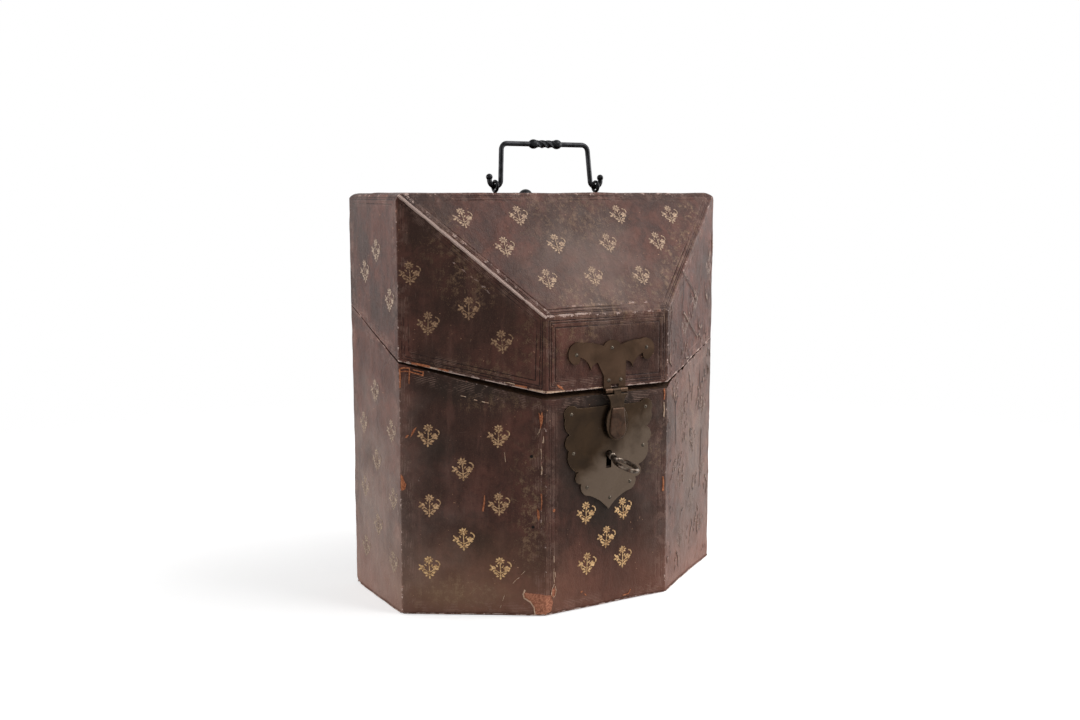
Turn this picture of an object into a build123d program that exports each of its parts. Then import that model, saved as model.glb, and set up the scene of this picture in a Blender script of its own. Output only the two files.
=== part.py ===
"""Slant-lidded travelling case: leather over boards, iron bail, hasp and lock. Millimetres, +Z up.

The origin is on the floor, below the middle of the closed case. The case faces -Y.
"""

import os
from math import atan2, cos, hypot, radians, sin, tan

from build123d import *

os.makedirs("parts", exist_ok=True)

# Outside of the closed case
case_width = 300.0
case_height = 324.0
side_depth = 93.5
cant_depth = 61.0
front_width = 113.2
front_height = 232.0
corner_round = 2.5
foot_round = 2.0
heel_round = 12.0
crown_round = 8.0

# The rim between case and lid, which slopes down to the front, and the gap that the lip leaves there
rim_back = 234.2
rim_front = 169.2
rim_gap_back = 0.6
rim_gap_front = 5.0

# Boards and coverings
leather = 1.2
board = 8.0
slide_fit = 0.4
lid_fit = 0.8
seat_fit = 0.3
mitre_gap = 0.05
lip_thick = 4.0
lip_depth = 26.0
lip_rise = 12.0
stop_height = 18.0
lining = 1.0

# Loose partitions in the case
partition = 5.0
partition_height = 118.0
partition_gap = 0.5
cross_spread = 47.0
long_offset = 12.0
stop_nudge = 0.2

# Hinges on the back
hinge_spread = 85.0
leaf_width = 27.0
leaf_tip_width = 15.0
leaf_height = 46.0
plate = 1.2
knuckle_r = 2.6
pin_r = 1.2
pin_fit = 0.05
knuckle_gap = 0.3
pin_head_r = 2.0
pin_head = 0.8

# Nails
nail_r = 0.6
nail_head_r = 1.5
nail_head = 0.9
nail_length = 6.0
nail_fit = 0.05

# Bail and its eyes
eye_spread = 48.3
eye_setback = 32.4
eye_wire_r = 1.3
eye_r = 4.0
eye_shank_r = 1.5
eye_clench = 9.0
eye_fit = 0.1
bail_lean = 4.0
bail_height = 34.4
bail_width = 82.0
bail_r = 2.1
bail_corner = 5.5
hook_r = 4.7
hook_width = 10.0
hook_rise = 7.4
ball_r = 2.7
grip_length = 30.0
grip_bead_r = 3.9
grip_twist_r = 3.6
twist_turn = 270.0
stud_r = 5.5
stud_height = 3.2
stud_shank_r = 1.0
stud_shank = 7.0

# Hasp plate, hasp and staple
tail_x = 2.4
hasp_x = 5.0
neck_width = 20.4
neck_height = 1.8
hasp_axis_drop = 2.2
hasp_barrel_r = 2.2
hasp_pin_r = 0.9
hasp_barrel = 20.6
hasp_strap = 2.0
hasp_standoff = 2.5
hasp_waist = 12.4
waist_drop = 8.7
hasp_oval = 20.0
oval_height = 28.0
hasp_length = 39.0
boss_height = 1.6
boss_drop = 13.0
boss_top_half = 5.6
boss_low_r = 7.6
boss_margin = 1.0
staple_drop = 31.4
staple_wire_r = 1.0

# The hasp plate's half outline and nails, out from its middle and up from the top of its neck
tail_arcs = [
    ((0, 35.4), (5.4, 34.2), (8.0, 31.4)),
    ((8.0, 31.4), (17.5, 34.0), (27.5, 34.8)),
    ((27.5, 34.8), (40.0, 26.0), (34.5, 18.4)),
    ((34.5, 18.4), (30.4, 19.6), (29.4, 23.8)),
    ((29.4, 23.8), (24.4, 21.2), (19.4, 13.0)),
    ((19.4, 13.0), (17.4, 17.0), (13.2, 18.6)),
]
tail_shoulder = 8.0
tail_nails = [(0, 29.4), (-32.6, 25.9), (32.6, 27.9)]
neck_nails = [(-5.6, 4.1), (5.6, 4.1)]

# Lock
lock_gap = 8.6
lock_height = 82.7
keyhole_below = 38.6
keyhole_r = 3.1
keyhole_slot = 5.0
keyhole_drop = 11.2
box_half_width = 30.0
box_below = 1.0
box_height = 53.6
box_wall = 1.0
box_depth = 8.8
box_fit = 0.3
bolt_height = 4.4
bolt_thick = 2.5
bolt_fit = 0.4
bolt_left = -25.2
bolt_clear = 1.1
slot_width = 4.8
slot_under = 1.8
slot_rise = 11.5
spring_thick = 0.8
spring_rise = 5.0
spring_gap = 1.0
guide_left = -16.0
guide_right = 9.0
guide_thick = 1.4
talon_x = -9.5
talon_width = 4.0

# Key
key_droop = 11.0
key_twist = -10.0
shank_r = 2.2
nose_r = 1.5
bit_reach = 9.8
bit_thick = 2.2
bit_length = 2.6
bit_depth = 3.0
nose_length = 9.3
nose_play = 0.7
collar_r = 2.9
collar_at = 3.4
bow_start = 10.5
bow_length = 27.0
bow_width = 18.0
bow_r = 1.7

# Places that follow from the sizes above
case_depth = side_depth + cant_depth
back = case_depth / 2
front = -case_depth / 2
ridge = back - side_depth
cant_run = (case_width - front_width) / 2
cant_length = hypot(cant_run, cant_depth)
slope_rise = case_height - front_height
slope_length = hypot(slope_rise, cant_depth)
wall = leather + board
lid_board = board - lid_fit
floor_top = leather + board + lining


def plan_corners(inset):
    """The plan's six corners, each wall moved inward by inset, clockwise from the back right."""
    out_x, out_y = cant_depth / cant_length, -cant_run / cant_length
    reach = out_x * case_width / 2 + out_y * ridge - inset
    x_side, y_back, y_front = case_width / 2 - inset, back - inset, front + inset
    y_bend = (reach - out_x * x_side) / out_y
    x_bend = (reach - out_y * y_front) / out_x
    right = [(x_side, y_back), (x_side, y_bend), (x_bend, y_front)]
    return right + [(-x, y) for x, y in reversed(right)]


def side_corners(inset):
    """The side view's five corners, moved inward by inset, from the heel over the top to the toe."""
    out_y, out_z = -slope_rise / slope_length, cant_depth / slope_length
    reach = out_y * ridge + out_z * case_height - inset
    y_back, y_front, z_top = back - inset, front + inset, case_height - inset
    crest = ((reach - out_z * z_top) / out_y, z_top)
    brow = (y_front, (reach - out_y * y_front) / out_z)
    return [(y_back, inset), (y_back, z_top), crest, brow, (y_front, inset)]


def rounded(corners, radii, inset):
    """A closed outline whose corner radii shrink with the inset, down to sharp corners."""
    return FilletPolyline(*corners, radius=[max(r - inset, 0) for r in radii], close=True)


def closed_form(inset):
    """The closed case as one block, its faces moved inward by inset."""
    x_side, z_top = case_width / 2 - inset, case_height - inset
    face_on = [(-x_side, inset), (-x_side, z_top), (x_side, z_top), (x_side, inset)]
    with BuildPart() as form:
        with BuildSketch():
            with BuildLine():
                rounded(plan_corners(inset), [corner_round] * 6, inset)
            make_face()
        extrude(amount=case_height)
        with BuildSketch(Plane.YZ):
            with BuildLine():
                rounded(side_corners(inset), [heel_round, crown_round, 0, 0, foot_round], inset)
            make_face()
        extrude(amount=case_width, both=True, mode=Mode.INTERSECT)
        with BuildSketch(Plane.XZ):
            with BuildLine():
                rounded(face_on, [foot_round, crown_round, crown_round, foot_round], inset)
            make_face()
        extrude(amount=case_depth, both=True, mode=Mode.INTERSECT)
    return form.part


def rim_plane(lift_back, lift_front):
    """A plane near the rim, lifted by these amounts at the back and the front; its normal is upward."""
    fall = rim_back + lift_back - rim_front - lift_front
    return Plane(
        origin=(0, back, rim_back + lift_back), x_dir=(1, 0, 0), z_dir=(0, -fall, case_depth)
    )


case_rim = rim_plane(0, 0)
lid_rim = rim_plane(rim_gap_back, rim_gap_front)
lip_low = case_rim.offset(-lip_depth)
lip_top = case_rim.offset(lip_rise)
stop_low = lip_top.offset(seat_fit)
stop_top = stop_low.offset(stop_height)

skin_form = closed_form(0)
board_form = closed_form(leather)
room_form = closed_form(wall)

wall_names = ["right_board", "right_cant_board", "front_board", "left_cant_board", "left_board"]
wall_names.append("back_board")


def finish(piece, name):
    """Label a finished piece and write it to its own file."""
    piece.label = name
    export_step(piece, f"parts/{name}.step")


def wall_strip(index, outer_inset, thickness, low, high):
    """One mitred wall between two planes whose normals point up, its mitres open by a hair."""
    after = (index + 1) % 6
    rows = [plan_corners(outer_inset), plan_corners(outer_inset + thickness)]
    ends = [(Vector(row[index]), Vector(row[after])) for row in rows]
    along = (ends[0][1] - ends[0][0]).normalized() * mitre_gap
    outline = [ends[0][0] + along, ends[0][1] - along, ends[1][1] - along, ends[1][0] + along]
    with BuildPart() as strip:
        with BuildSketch():
            with BuildLine():
                Polyline(*outline, close=True)
            make_face()
        extrude(amount=case_height)
        split(bisect_by=low, keep=Keep.TOP)
        split(bisect_by=high, keep=Keep.BOTTOM)
    return strip.part


def dome_arc(radius, height):
    """The arc of a spherical cap, from its edge at (radius, 0) to its top at (0, height)."""
    sphere = (radius**2 + height**2) / (2 * height)
    half_angle = atan2(radius, sphere - height) / 2
    middle = (sphere * sin(half_angle), height - sphere + sphere * cos(half_angle))
    ThreePointArc((radius, 0), middle, (0, height))


with BuildPart() as one_nail:
    with BuildSketch(Plane.XZ):
        with BuildLine():
            Polyline((0, nail_head), (0, -nail_length), (nail_r, -nail_length), (nail_r, 0), (nail_head_r, 0))
            dome_arc(nail_head_r, nail_head)
        make_face()
    revolve(axis=Axis.Z)


def nails(places, surface, out):
    """Domed nails driven at places (x, z) through the surface; out is -1 to the front, 1 to the back."""
    with BuildPart() as group:
        seats = [Plane(origin=(x, surface, z), x_dir=(1, 0, 0), z_dir=(0, out, 0)) for x, z in places]
        with Locations(*seats):
            add(one_nail.part)
    return group.part


def nail_holes(places, surface):
    """Cut the clearance holes for nails through a plate that stands on the XZ plane at surface."""
    for x, z in places:
        with BuildSketch(Plane(origin=(x, surface, z), x_dir=(1, 0, 0), z_dir=(0, 1, 0))) as hole:
            Circle(nail_r + nail_fit)
        extrude(hole.sketch, amount=2 * plate, both=True, mode=Mode.SUBTRACT)


# Bail axis, on top of the lid
pivot_y = back - side_depth + eye_setback
pivot_z = case_height + eye_r + eye_wire_r

# Hinge axis, on the back
hinge_y = back + knuckle_r + knuckle_gap
hinge_z = rim_back + rim_gap_back / 2

# Hasp axis, under the lid's front edge
hasp_axis_y = front - hasp_barrel_r - knuckle_gap
hasp_axis_z = rim_front + rim_gap_front - hasp_axis_drop
strap_inner_y = front - plate - hasp_standoff
strap_outer_y = strap_inner_y - hasp_strap
staple_z = hasp_axis_z - staple_drop

# Lock, from its top down
lock_top = rim_front - lock_gap
keyhole_z = lock_top - keyhole_below
box_top = lock_top - box_below
box_low = box_top - box_height

# Lock, from the front plate inward
plate_back_y = front
bolt_front_y = plate_back_y + bolt_fit
bolt_back_y = bolt_front_y + bolt_thick
eye_half = bolt_height / 2 + bolt_fit
staple_half = eye_half + 2 * staple_wire_r
staple_deep_y = bolt_back_y + bolt_fit + 2 * staple_wire_r
slot_low_z = staple_z - staple_half - slot_under
slot_high_z = staple_z + staple_half + slot_rise
bolt_tip = hasp_x - staple_wire_r - bolt_clear
cover_y = plate_back_y + box_depth
cover_in_y = cover_y - box_wall

side_nails = [(34.6, 4.2), (32.6, 35.0), (20.2, 63.0)]
lock_nail_places = [(side * x, lock_top - drop) for side in (-1, 1) for x, drop in side_nails]
lock_nail_places.append((1.2, lock_top - lock_height + 9))
neck_low = rim_front + rim_gap_front
neck_top = neck_low + neck_height
tail_nail_places = [(tail_x + x, neck_top + rise) for x, rise in tail_nails]
tail_nail_places += [(hasp_x + x, neck_top + rise) for x, rise in neck_nails]
leaf_nail_places = [(side * 0.3 * leaf_width, -0.2 * leaf_height) for side in (-1, 1)]
leaf_nail_places += [(0, -0.54 * leaf_height), (0, -0.85 * leaf_height)]


def pocket(width, top, low, depth):
    """Cut the lock's pocket from the front, as wide as width each way from the middle."""
    with BuildSketch(Plane.XZ.offset(-front)) as mouth:
        with Locations((0, (top + low) / 2)):
            Rectangle(2 * width, top - low)
    extrude(mouth.sketch, amount=-depth, mode=Mode.SUBTRACT)


# Base: the thin cover that the case rests on, the base board and the floor lining
with BuildPart() as base_cover:
    with BuildSketch():
        with BuildLine():
            Polyline(*plan_corners(leather), close=True)
        make_face()
    extrude(amount=leather)
    add(skin_form, mode=Mode.INTERSECT)
finish(base_cover.part, "base_cover")

with BuildPart() as base_board:
    with BuildSketch(Plane.XY.offset(leather)):
        with BuildLine():
            Polyline(*plan_corners(wall), close=True)
        make_face()
    extrude(amount=board)
    add(board_form, mode=Mode.INTERSECT)
finish(base_board.part, "base_board")

with BuildPart() as floor_lining:
    with BuildSketch(Plane.XY.offset(wall)):
        with BuildLine():
            Polyline(*plan_corners(wall + slide_fit), close=True)
        make_face()
    extrude(amount=lining)
finish(floor_lining.part, "floor_lining")

# Case walls, mitred at the corners, with the lock's pocket through the front one
for index, name in enumerate(wall_names):
    with BuildPart() as case_wall:
        add(wall_strip(index, leather, board, Plane.XY.offset(leather), case_rim))
        add(board_form, mode=Mode.INTERSECT)
        if name == "front_board":
            pocket(box_half_width + box_fit, box_top + box_fit, box_low - box_fit, wall)
    finish(case_wall.part, name)

with BuildPart() as case_leather:
    add(skin_form)
    add(board_form, mode=Mode.SUBTRACT)
    with BuildSketch(Plane.XY.offset(-leather)):
        with BuildLine():
            Polyline(*plan_corners(leather), close=True)
        make_face()
    extrude(amount=3 * leather, mode=Mode.SUBTRACT)
    split(bisect_by=case_rim, keep=Keep.BOTTOM)
    pocket(box_half_width + box_fit, box_top + box_fit, box_low - box_fit, leather)
finish(case_leather.part, "case_leather")

# Inner lip round the rim, and the stops in the lid that sit on it
with BuildPart() as inner_lip:
    for index in range(6):
        add(wall_strip(index, wall, lip_thick, lip_low, lip_top))
finish(inner_lip.part, "inner_lip")

with BuildPart() as lid_stops:
    for index in range(6):
        stop_thick = lip_thick - stop_nudge + lid_fit
        add(wall_strip(index, leather + lid_board, stop_thick, stop_low, stop_top))
finish(lid_stops.part, "lid_stops")

# Loose partitions, half-lapped where they cross
inner = plan_corners(wall + partition_gap)
long_y = long_offset - partition
long_half = inner[0][0]
half_height = partition_height / 2
with BuildPart() as long_partition:
    with BuildSketch(Plane.XY.offset(floor_top)):
        with Locations((0, long_y)):
            Rectangle(2 * long_half, partition)
    extrude(amount=partition_height)
    for x in (-cross_spread, cross_spread):
        with BuildSketch(Plane.XY.offset(floor_top + half_height)):
            with Locations((x, long_y)):
                Rectangle(partition + 2 * slide_fit, 2 * partition)
        extrude(amount=partition_height, mode=Mode.SUBTRACT)
finish(long_partition.part, "long_partition")

with BuildPart() as cross_partitions:
    for x in (-cross_spread, cross_spread):
        with BuildSketch(Plane.XY.offset(floor_top)):
            with Locations((x, (inner[0][1] + inner[2][1]) / 2)):
                Rectangle(partition, inner[0][1] - inner[2][1])
        extrude(amount=partition_height)
        with BuildSketch(Plane.XY.offset(floor_top - partition)):
            with Locations((x, long_y)):
                Rectangle(2 * partition, partition + 2 * slide_fit)
        extrude(amount=half_height + partition + slide_fit, mode=Mode.SUBTRACT)
finish(cross_partitions.part, "cross_partitions")

# Lid roof: top and slope boards, mitred under the ridge
outer_ridge, inner_ridge = side_corners(leather)[2], side_corners(wall)[2]
ridge_mitre = Plane(
    origin=(0, outer_ridge[0], outer_ridge[1]),
    x_dir=(1, 0, 0),
    z_dir=(0, outer_ridge[1] - inner_ridge[1], inner_ridge[0] - outer_ridge[0]),
)
eye_places = [(-eye_spread, pivot_y), (eye_spread, pivot_y)]
stud_y = pivot_y + bail_height

with BuildPart() as roof:
    with BuildSketch():
        with BuildLine():
            Polyline(*plan_corners(wall), close=True)
        make_face()
    extrude(amount=case_height)
    add(board_form, mode=Mode.INTERSECT)
    add(room_form, mode=Mode.SUBTRACT)
    split(bisect_by=Plane.XY.offset(case_height / 2), keep=Keep.TOP)
with BuildPart() as top_board:
    add(roof.part)
    split(bisect_by=ridge_mitre, keep=Keep.TOP)
    with Locations(*[(x, y, case_height) for x, y in eye_places]):
        Cylinder(eye_shank_r + eye_fit, 3 * wall, mode=Mode.SUBTRACT)
    with Locations((0, stud_y, case_height)):
        Cylinder(stud_shank_r + eye_fit, 2 * wall, mode=Mode.SUBTRACT)
finish(top_board.part, "top_board")

with BuildPart() as slope_board:
    add(roof.part)
    split(bisect_by=ridge_mitre, keep=Keep.BOTTOM)
finish(slope_board.part, "slope_board")

for index, name in enumerate(wall_names):
    with BuildPart() as lid_wall:
        add(wall_strip(index, leather, lid_board, lid_rim, Plane.XY.offset(case_height)))
        add(board_form, mode=Mode.INTERSECT)
        add(roof.part, mode=Mode.SUBTRACT)
    finish(lid_wall.part, f"lid_{name}")

with BuildPart() as lid_leather:
    add(skin_form)
    add(board_form, mode=Mode.SUBTRACT)
    split(bisect_by=lid_rim, keep=Keep.TOP)
    with Locations(*[(x, y, case_height) for x, y in eye_places]):
        Cylinder(eye_shank_r + eye_fit, 3 * leather, mode=Mode.SUBTRACT)
    with Locations((0, stud_y, case_height)):
        Cylinder(stud_shank_r + eye_fit, 3 * leather, mode=Mode.SUBTRACT)
finish(lid_leather.part, "lid_leather")


# Hinges: tapered leaves on the back, three knuckles on one pin
def hinge_leaf(x, up, knuckles):
    """One leaf at x, above the pin if up is 1 and below it if -1, with knuckles counted from the middle."""
    pitch = leaf_width / 3
    shoulder = knuckle_r + knuckle_gap
    with BuildPart() as leaf:
        with BuildSketch(Plane(origin=(x, back, hinge_z), x_dir=(1, 0, 0), z_dir=(0, -1, 0))):
            with BuildLine():
                FilletPolyline(
                    (-leaf_width / 2, up * shoulder),
                    (leaf_width / 2, up * shoulder),
                    (leaf_tip_width / 2, up * (shoulder + leaf_height)),
                    (-leaf_tip_width / 2, up * (shoulder + leaf_height)),
                    radius=[0, 0, leaf_tip_width / 3, leaf_tip_width / 3],
                    close=True,
                )
            make_face()
        extrude(amount=-plate)
        for knuckle in knuckles:
            with Locations((x + knuckle * pitch, back + plate / 2, hinge_z + up * shoulder / 2)):
                Box(pitch - knuckle_gap, plate, shoulder)
            with Locations((x + knuckle * pitch, hinge_y, hinge_z)):
                Cylinder(knuckle_r, pitch - knuckle_gap, rotation=(0, 90, 0))
        with Locations((x, hinge_y, hinge_z)):
            Cylinder(pin_r + pin_fit, 2 * leaf_width, rotation=(0, 90, 0), mode=Mode.SUBTRACT)
        nail_holes([(x + dx, hinge_z - up * dz) for dx, dz in leaf_nail_places], back)
    return leaf.part


hinge_places = (-hinge_spread, hinge_spread)
for name, up, knuckles in (("case_hinge_leaves", -1, (-1, 1)), ("lid_hinge_leaves", 1, (0,))):
    with BuildPart() as leaves:
        for x in hinge_places:
            add(hinge_leaf(x, up, knuckles))
    finish(leaves.part, name)
    places = [(x + dx, hinge_z - up * dz) for x in hinge_places for dx, dz in leaf_nail_places]
    finish(nails(places, back + plate, 1), name.replace("leaves", "nails"))

with BuildPart() as hinge_pins:
    for x in hinge_places:
        with Locations((x, hinge_y, hinge_z)):
            Cylinder(pin_r, leaf_width, rotation=(0, 90, 0))
        for end in (-1, 1):
            with Locations((x + end * (leaf_width + pin_head) / 2, hinge_y, hinge_z)):
                Cylinder(pin_head_r, pin_head, rotation=(0, 90, 0))
finish(hinge_pins.part, "hinge_pins")

# Bail: octagonal bar with hooked ends, and a forged grip with two beads and a twist
bail_normal = (0, -cos(radians(bail_lean)), sin(radians(bail_lean)))
bail_plane = Plane(origin=(0, pivot_y, pivot_z), x_dir=(1, 0, 0), z_dir=bail_normal)
hook_in, hook_out = eye_spread - hook_width / 2, eye_spread + hook_width / 2
half_bail = [(hook_out, hook_rise), (hook_out, 0), (hook_in, 0), (bail_width / 2, bail_height)]
grip_plane = Plane(
    origin=bail_plane.from_local_coords((0, bail_height, 0)), x_dir=(0, 1, 0), z_dir=(1, 0, 0)
)
twist_length = grip_length - 3 * grip_bead_r
with BuildSketch(grip_plane.offset(-twist_length / 2)) as twist_section:
    RegularPolygon(grip_twist_r, 4)
    fillet(twist_section.vertices(), grip_twist_r / 5)
twist_face = twist_section.sketch.face()
grip_twist = Solid.extrude_linear_with_rotation(
    twist_face, twist_face.center(), (twist_length, 0, 0), twist_turn
)
with BuildPart() as handle:
    with BuildLine(bail_plane) as bail_path:
        FilletPolyline(
            *[(-x, z) for x, z in half_bail],
            *reversed(half_bail),
            radius=[hook_r, hook_r, bail_corner, bail_corner, hook_r, hook_r],
        )
    start = bail_path.line @ 0
    with BuildSketch(Plane(origin=start, z_dir=bail_path.line % 0)):
        RegularPolygon(bail_r, 8)
    sweep(path=bail_path.line)
    with BuildSketch(Plane(origin=grip_plane.origin, x_dir=(1, 0, 0), z_dir=(0, -1, 0))) as beads:
        with BuildLine():
            Polyline((-grip_length / 2, 0), (-grip_length / 2, bail_r))
            for side in (-1, 1):
                centre = side * (grip_length / 2 - grip_bead_r)
                ThreePointArc(
                    (centre - grip_bead_r, bail_r),
                    (centre, grip_bead_r),
                    (centre + grip_bead_r, bail_r),
                )
            Line((-grip_length / 2 + 2 * grip_bead_r, bail_r), (grip_length / 2 - 2 * grip_bead_r, bail_r))
            Polyline((grip_length / 2, bail_r), (grip_length / 2, 0), (-grip_length / 2, 0))
        make_face()
    revolve(beads.sketch, axis=Axis(grip_plane.origin, (1, 0, 0)))
    add(grip_twist)
    with Locations(*[bail_plane.from_local_coords((s * hook_out, hook_rise, 0)) for s in (-1, 1)]):
        Sphere(ball_r)
finish(handle.part, "handle")

# Eyes: split pins through the top board, their legs clenched under it
clench_z = case_height - wall - eye_shank_r / 2
with BuildPart() as handle_eyes:
    for x, y in eye_places:
        with Locations((x, y, pivot_z)):
            Torus(eye_r, eye_wire_r, rotation=(0, 90, 0))
        with Locations((x, y, (pivot_z - eye_r + clench_z) / 2)):
            Cylinder(eye_shank_r, pivot_z - eye_r - clench_z)
        with Locations((x, y, clench_z)):
            Box(2 * eye_shank_r, 2 * eye_clench, eye_shank_r)
finish(handle_eyes.part, "handle_eyes")

with BuildPart() as rest_stud:
    with BuildSketch(Plane(origin=(0, stud_y, case_height), x_dir=(1, 0, 0), z_dir=(0, -1, 0))):
        with BuildLine():
            Polyline((0, stud_height), (0, -stud_shank), (stud_shank_r, -stud_shank), (stud_shank_r, 0))
            Line((stud_shank_r, 0), (stud_r, 0))
            dome_arc(stud_r, stud_height)
        make_face()
    revolve(axis=Axis((0, stud_y, case_height), (0, 0, 1)))
finish(rest_stud.part, "rest_stud")


# Tail-shaped plate that carries the hasp
def tail_half(side):
    """One wing of the plate, as points from the top bump round the scroll to the neck."""
    outline = [[(tail_x + side * x, neck_top + rise) for x, rise in arc] for arc in tail_arcs]
    for arc in outline:
        ThreePointArc(*arc)
    neck_x = hasp_x + side * neck_width / 2
    Polyline(
        outline[-1][-1],
        (neck_x, neck_top + tail_shoulder),
        (neck_x, neck_top),
        (tail_x, neck_top),
        outline[0][0],
    )


hasp_third = hasp_barrel / 3
with BuildPart() as hasp_plate:
    for side in (-1, 1):
        with BuildSketch(Plane.XZ.offset(-front)):
            with BuildLine():
                tail_half(side)
            make_face()
        extrude(amount=plate)
    with BuildSketch(Plane.XZ.offset(-front)):
        with Locations((hasp_x, (neck_top + neck_low) / 2)):
            Rectangle(neck_width, neck_height)
    extrude(amount=plate)
    for side in (-1, 1):
        x = hasp_x + side * hasp_third
        with Locations((x, front - plate / 2, (neck_low + hasp_axis_z) / 2)):
            Box(hasp_third - knuckle_gap, plate, neck_low - hasp_axis_z)
        with Locations((x, hasp_axis_y, hasp_axis_z)):
            Cylinder(hasp_barrel_r, hasp_third - knuckle_gap, rotation=(0, 90, 0))
    with Locations((hasp_x, hasp_axis_y, hasp_axis_z)):
        Cylinder(hasp_pin_r + pin_fit, 2 * hasp_barrel, rotation=(0, 90, 0), mode=Mode.SUBTRACT)
    with Locations((hasp_x, front - plate, neck_low)):
        Cylinder(
            hasp_barrel_r + 2 * knuckle_gap, hasp_third + knuckle_gap, rotation=(0, 90, 0), mode=Mode.SUBTRACT
        )
    nail_holes(tail_nail_places, front - plate)
finish(hasp_plate.part, "hasp_plate")
finish(nails(tail_nail_places, front - plate, -1), "hasp_plate_nails")

with BuildPart() as hasp_pin:
    with Locations((hasp_x, hasp_axis_y, hasp_axis_z)):
        Cylinder(hasp_pin_r, hasp_barrel, rotation=(0, 90, 0))
finish(hasp_pin.part, "hasp_pin")

# Hasp: a strap with a waist and an oval end, which stands off the lock plate
strap_top = hasp_axis_z - hasp_barrel_r - knuckle_gap
oval_half = oval_height / 2
oval_z = hasp_axis_z - hasp_length + oval_half
with BuildPart() as hasp:
    with BuildSketch(Plane.XZ.offset(-strap_inner_y)):
        with BuildLine():
            waist_z = strap_top - waist_drop
            Line((hasp_x - neck_width / 2, strap_top), (hasp_x + neck_width / 2, strap_top))
            for side in (-1, 1):
                ThreePointArc(
                    (hasp_x + side * neck_width / 2, strap_top),
                    (hasp_x + side * 1.13 * hasp_waist / 2, strap_top - waist_drop / 2),
                    (hasp_x + side * hasp_waist / 2, waist_z),
                )
                Line((hasp_x + side * hasp_waist / 2, waist_z), (hasp_x + side * hasp_waist / 2, oval_z))
            Line((hasp_x - hasp_waist / 2, oval_z), (hasp_x + hasp_waist / 2, oval_z))
        make_face()
        with Locations((hasp_x, oval_z)):
            Ellipse(hasp_oval / 2, oval_half)
    extrude(amount=hasp_strap)
    outer_rim = faces().sort_by(Axis.Y)[0].edges()
    chamfer(outer_rim, hasp_strap / 5)
    with Locations((hasp_x, hasp_axis_y, hasp_axis_z)):
        Cylinder(hasp_barrel_r, hasp_third - knuckle_gap, rotation=(0, 90, 0))
    root_y = hasp_axis_y - hasp_barrel_r / 2
    with Locations((hasp_x, (strap_outer_y + root_y) / 2, hasp_axis_z - hasp_barrel_r)):
        Box(hasp_third - knuckle_gap, root_y - strap_outer_y, 2 * hasp_barrel_r)
    with Locations((hasp_x, hasp_axis_y, hasp_axis_z)):
        Cylinder(hasp_pin_r + pin_fit, 2 * hasp_barrel, rotation=(0, 90, 0), mode=Mode.SUBTRACT)
finish(hasp.part, "hasp")

boss_top = hasp_axis_z - boss_drop
boss_low_z = hasp_axis_z - hasp_length + boss_margin + boss_low_r
boss_sides = [(hasp_x + side * boss_low_r, boss_low_z) for side in (-1, 1)]
with BuildPart() as hasp_boss:
    with BuildSketch(Plane.XZ.offset(-strap_outer_y)):
        with BuildLine():
            Polyline(
                boss_sides[0],
                (hasp_x - boss_top_half, boss_top),
                (hasp_x + boss_top_half, boss_top),
                boss_sides[1],
            )
            ThreePointArc(boss_sides[0], (hasp_x, boss_low_z - boss_low_r), boss_sides[1])
        make_face()
    extrude(amount=boss_height)
    fillet(faces().sort_by(Axis.Y)[0].edges(), boss_height * 0.8)
finish(hasp_boss.part, "hasp_boss")

with BuildPart() as hasp_staple:
    with BuildLine(Plane.YZ.offset(hasp_x)) as staple_path:
        loop = eye_half + staple_wire_r
        deep = staple_deep_y - staple_wire_r
        FilletPolyline(
            (strap_inner_y, staple_z - loop),
            (deep, staple_z - loop),
            (deep, staple_z + loop),
            (strap_inner_y, staple_z + loop),
            radius=2 * staple_wire_r,
        )
    with BuildSketch(Plane(origin=staple_path.line @ 0, z_dir=staple_path.line % 0)):
        Circle(staple_wire_r)
    sweep(path=staple_path.line)
finish(hasp_staple.part, "hasp_staple")

# Scalloped lock plate with its keyhole and the staple's slot
right_scallops = [
    ((0, -0.2), (15.0, 0.3), (29.6, 0)),
    ((29.6, 0), (39.3, -0.6), (40.2, 7.6)),
    ((40.2, 7.6), (40.4, 13.8), (35.6, 20.0)),
    ((35.6, 20.0), (40.2, 26.4), (36.8, 32.6)),
    ((36.8, 32.6), (37.6, 40.0), (27.6, 50.2)),
    ((27.6, 50.2), (30.8, 54.7), (25.4, 59.6)),
    ((25.4, 59.6), (24.9, 66.0), (18.6, 69.8)),
    ((18.6, 69.8), (9.4, 74.2), (0, lock_height)),
]
with BuildPart() as lock_plate:
    with BuildSketch(Plane.XZ.offset(-front)):
        with BuildLine():
            for side in (-1, 1):
                for scallop in right_scallops:
                    ThreePointArc(*[(side * x, lock_top - drop) for x, drop in scallop])
        make_face()
        with Locations((0, keyhole_z)):
            Circle(keyhole_r, mode=Mode.SUBTRACT)
        with Locations((0, keyhole_z - keyhole_drop / 2)):
            Rectangle(keyhole_slot, keyhole_drop, mode=Mode.SUBTRACT)
        with Locations((hasp_x, (slot_low_z + slot_high_z) / 2)):
            Rectangle(slot_width, slot_high_z - slot_low_z, mode=Mode.SUBTRACT)
    extrude(amount=plate)
    nail_holes(lock_nail_places, front - plate)
finish(lock_plate.part, "lock_plate")
finish(nails(lock_nail_places, front - plate, -1), "lock_nails")

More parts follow.
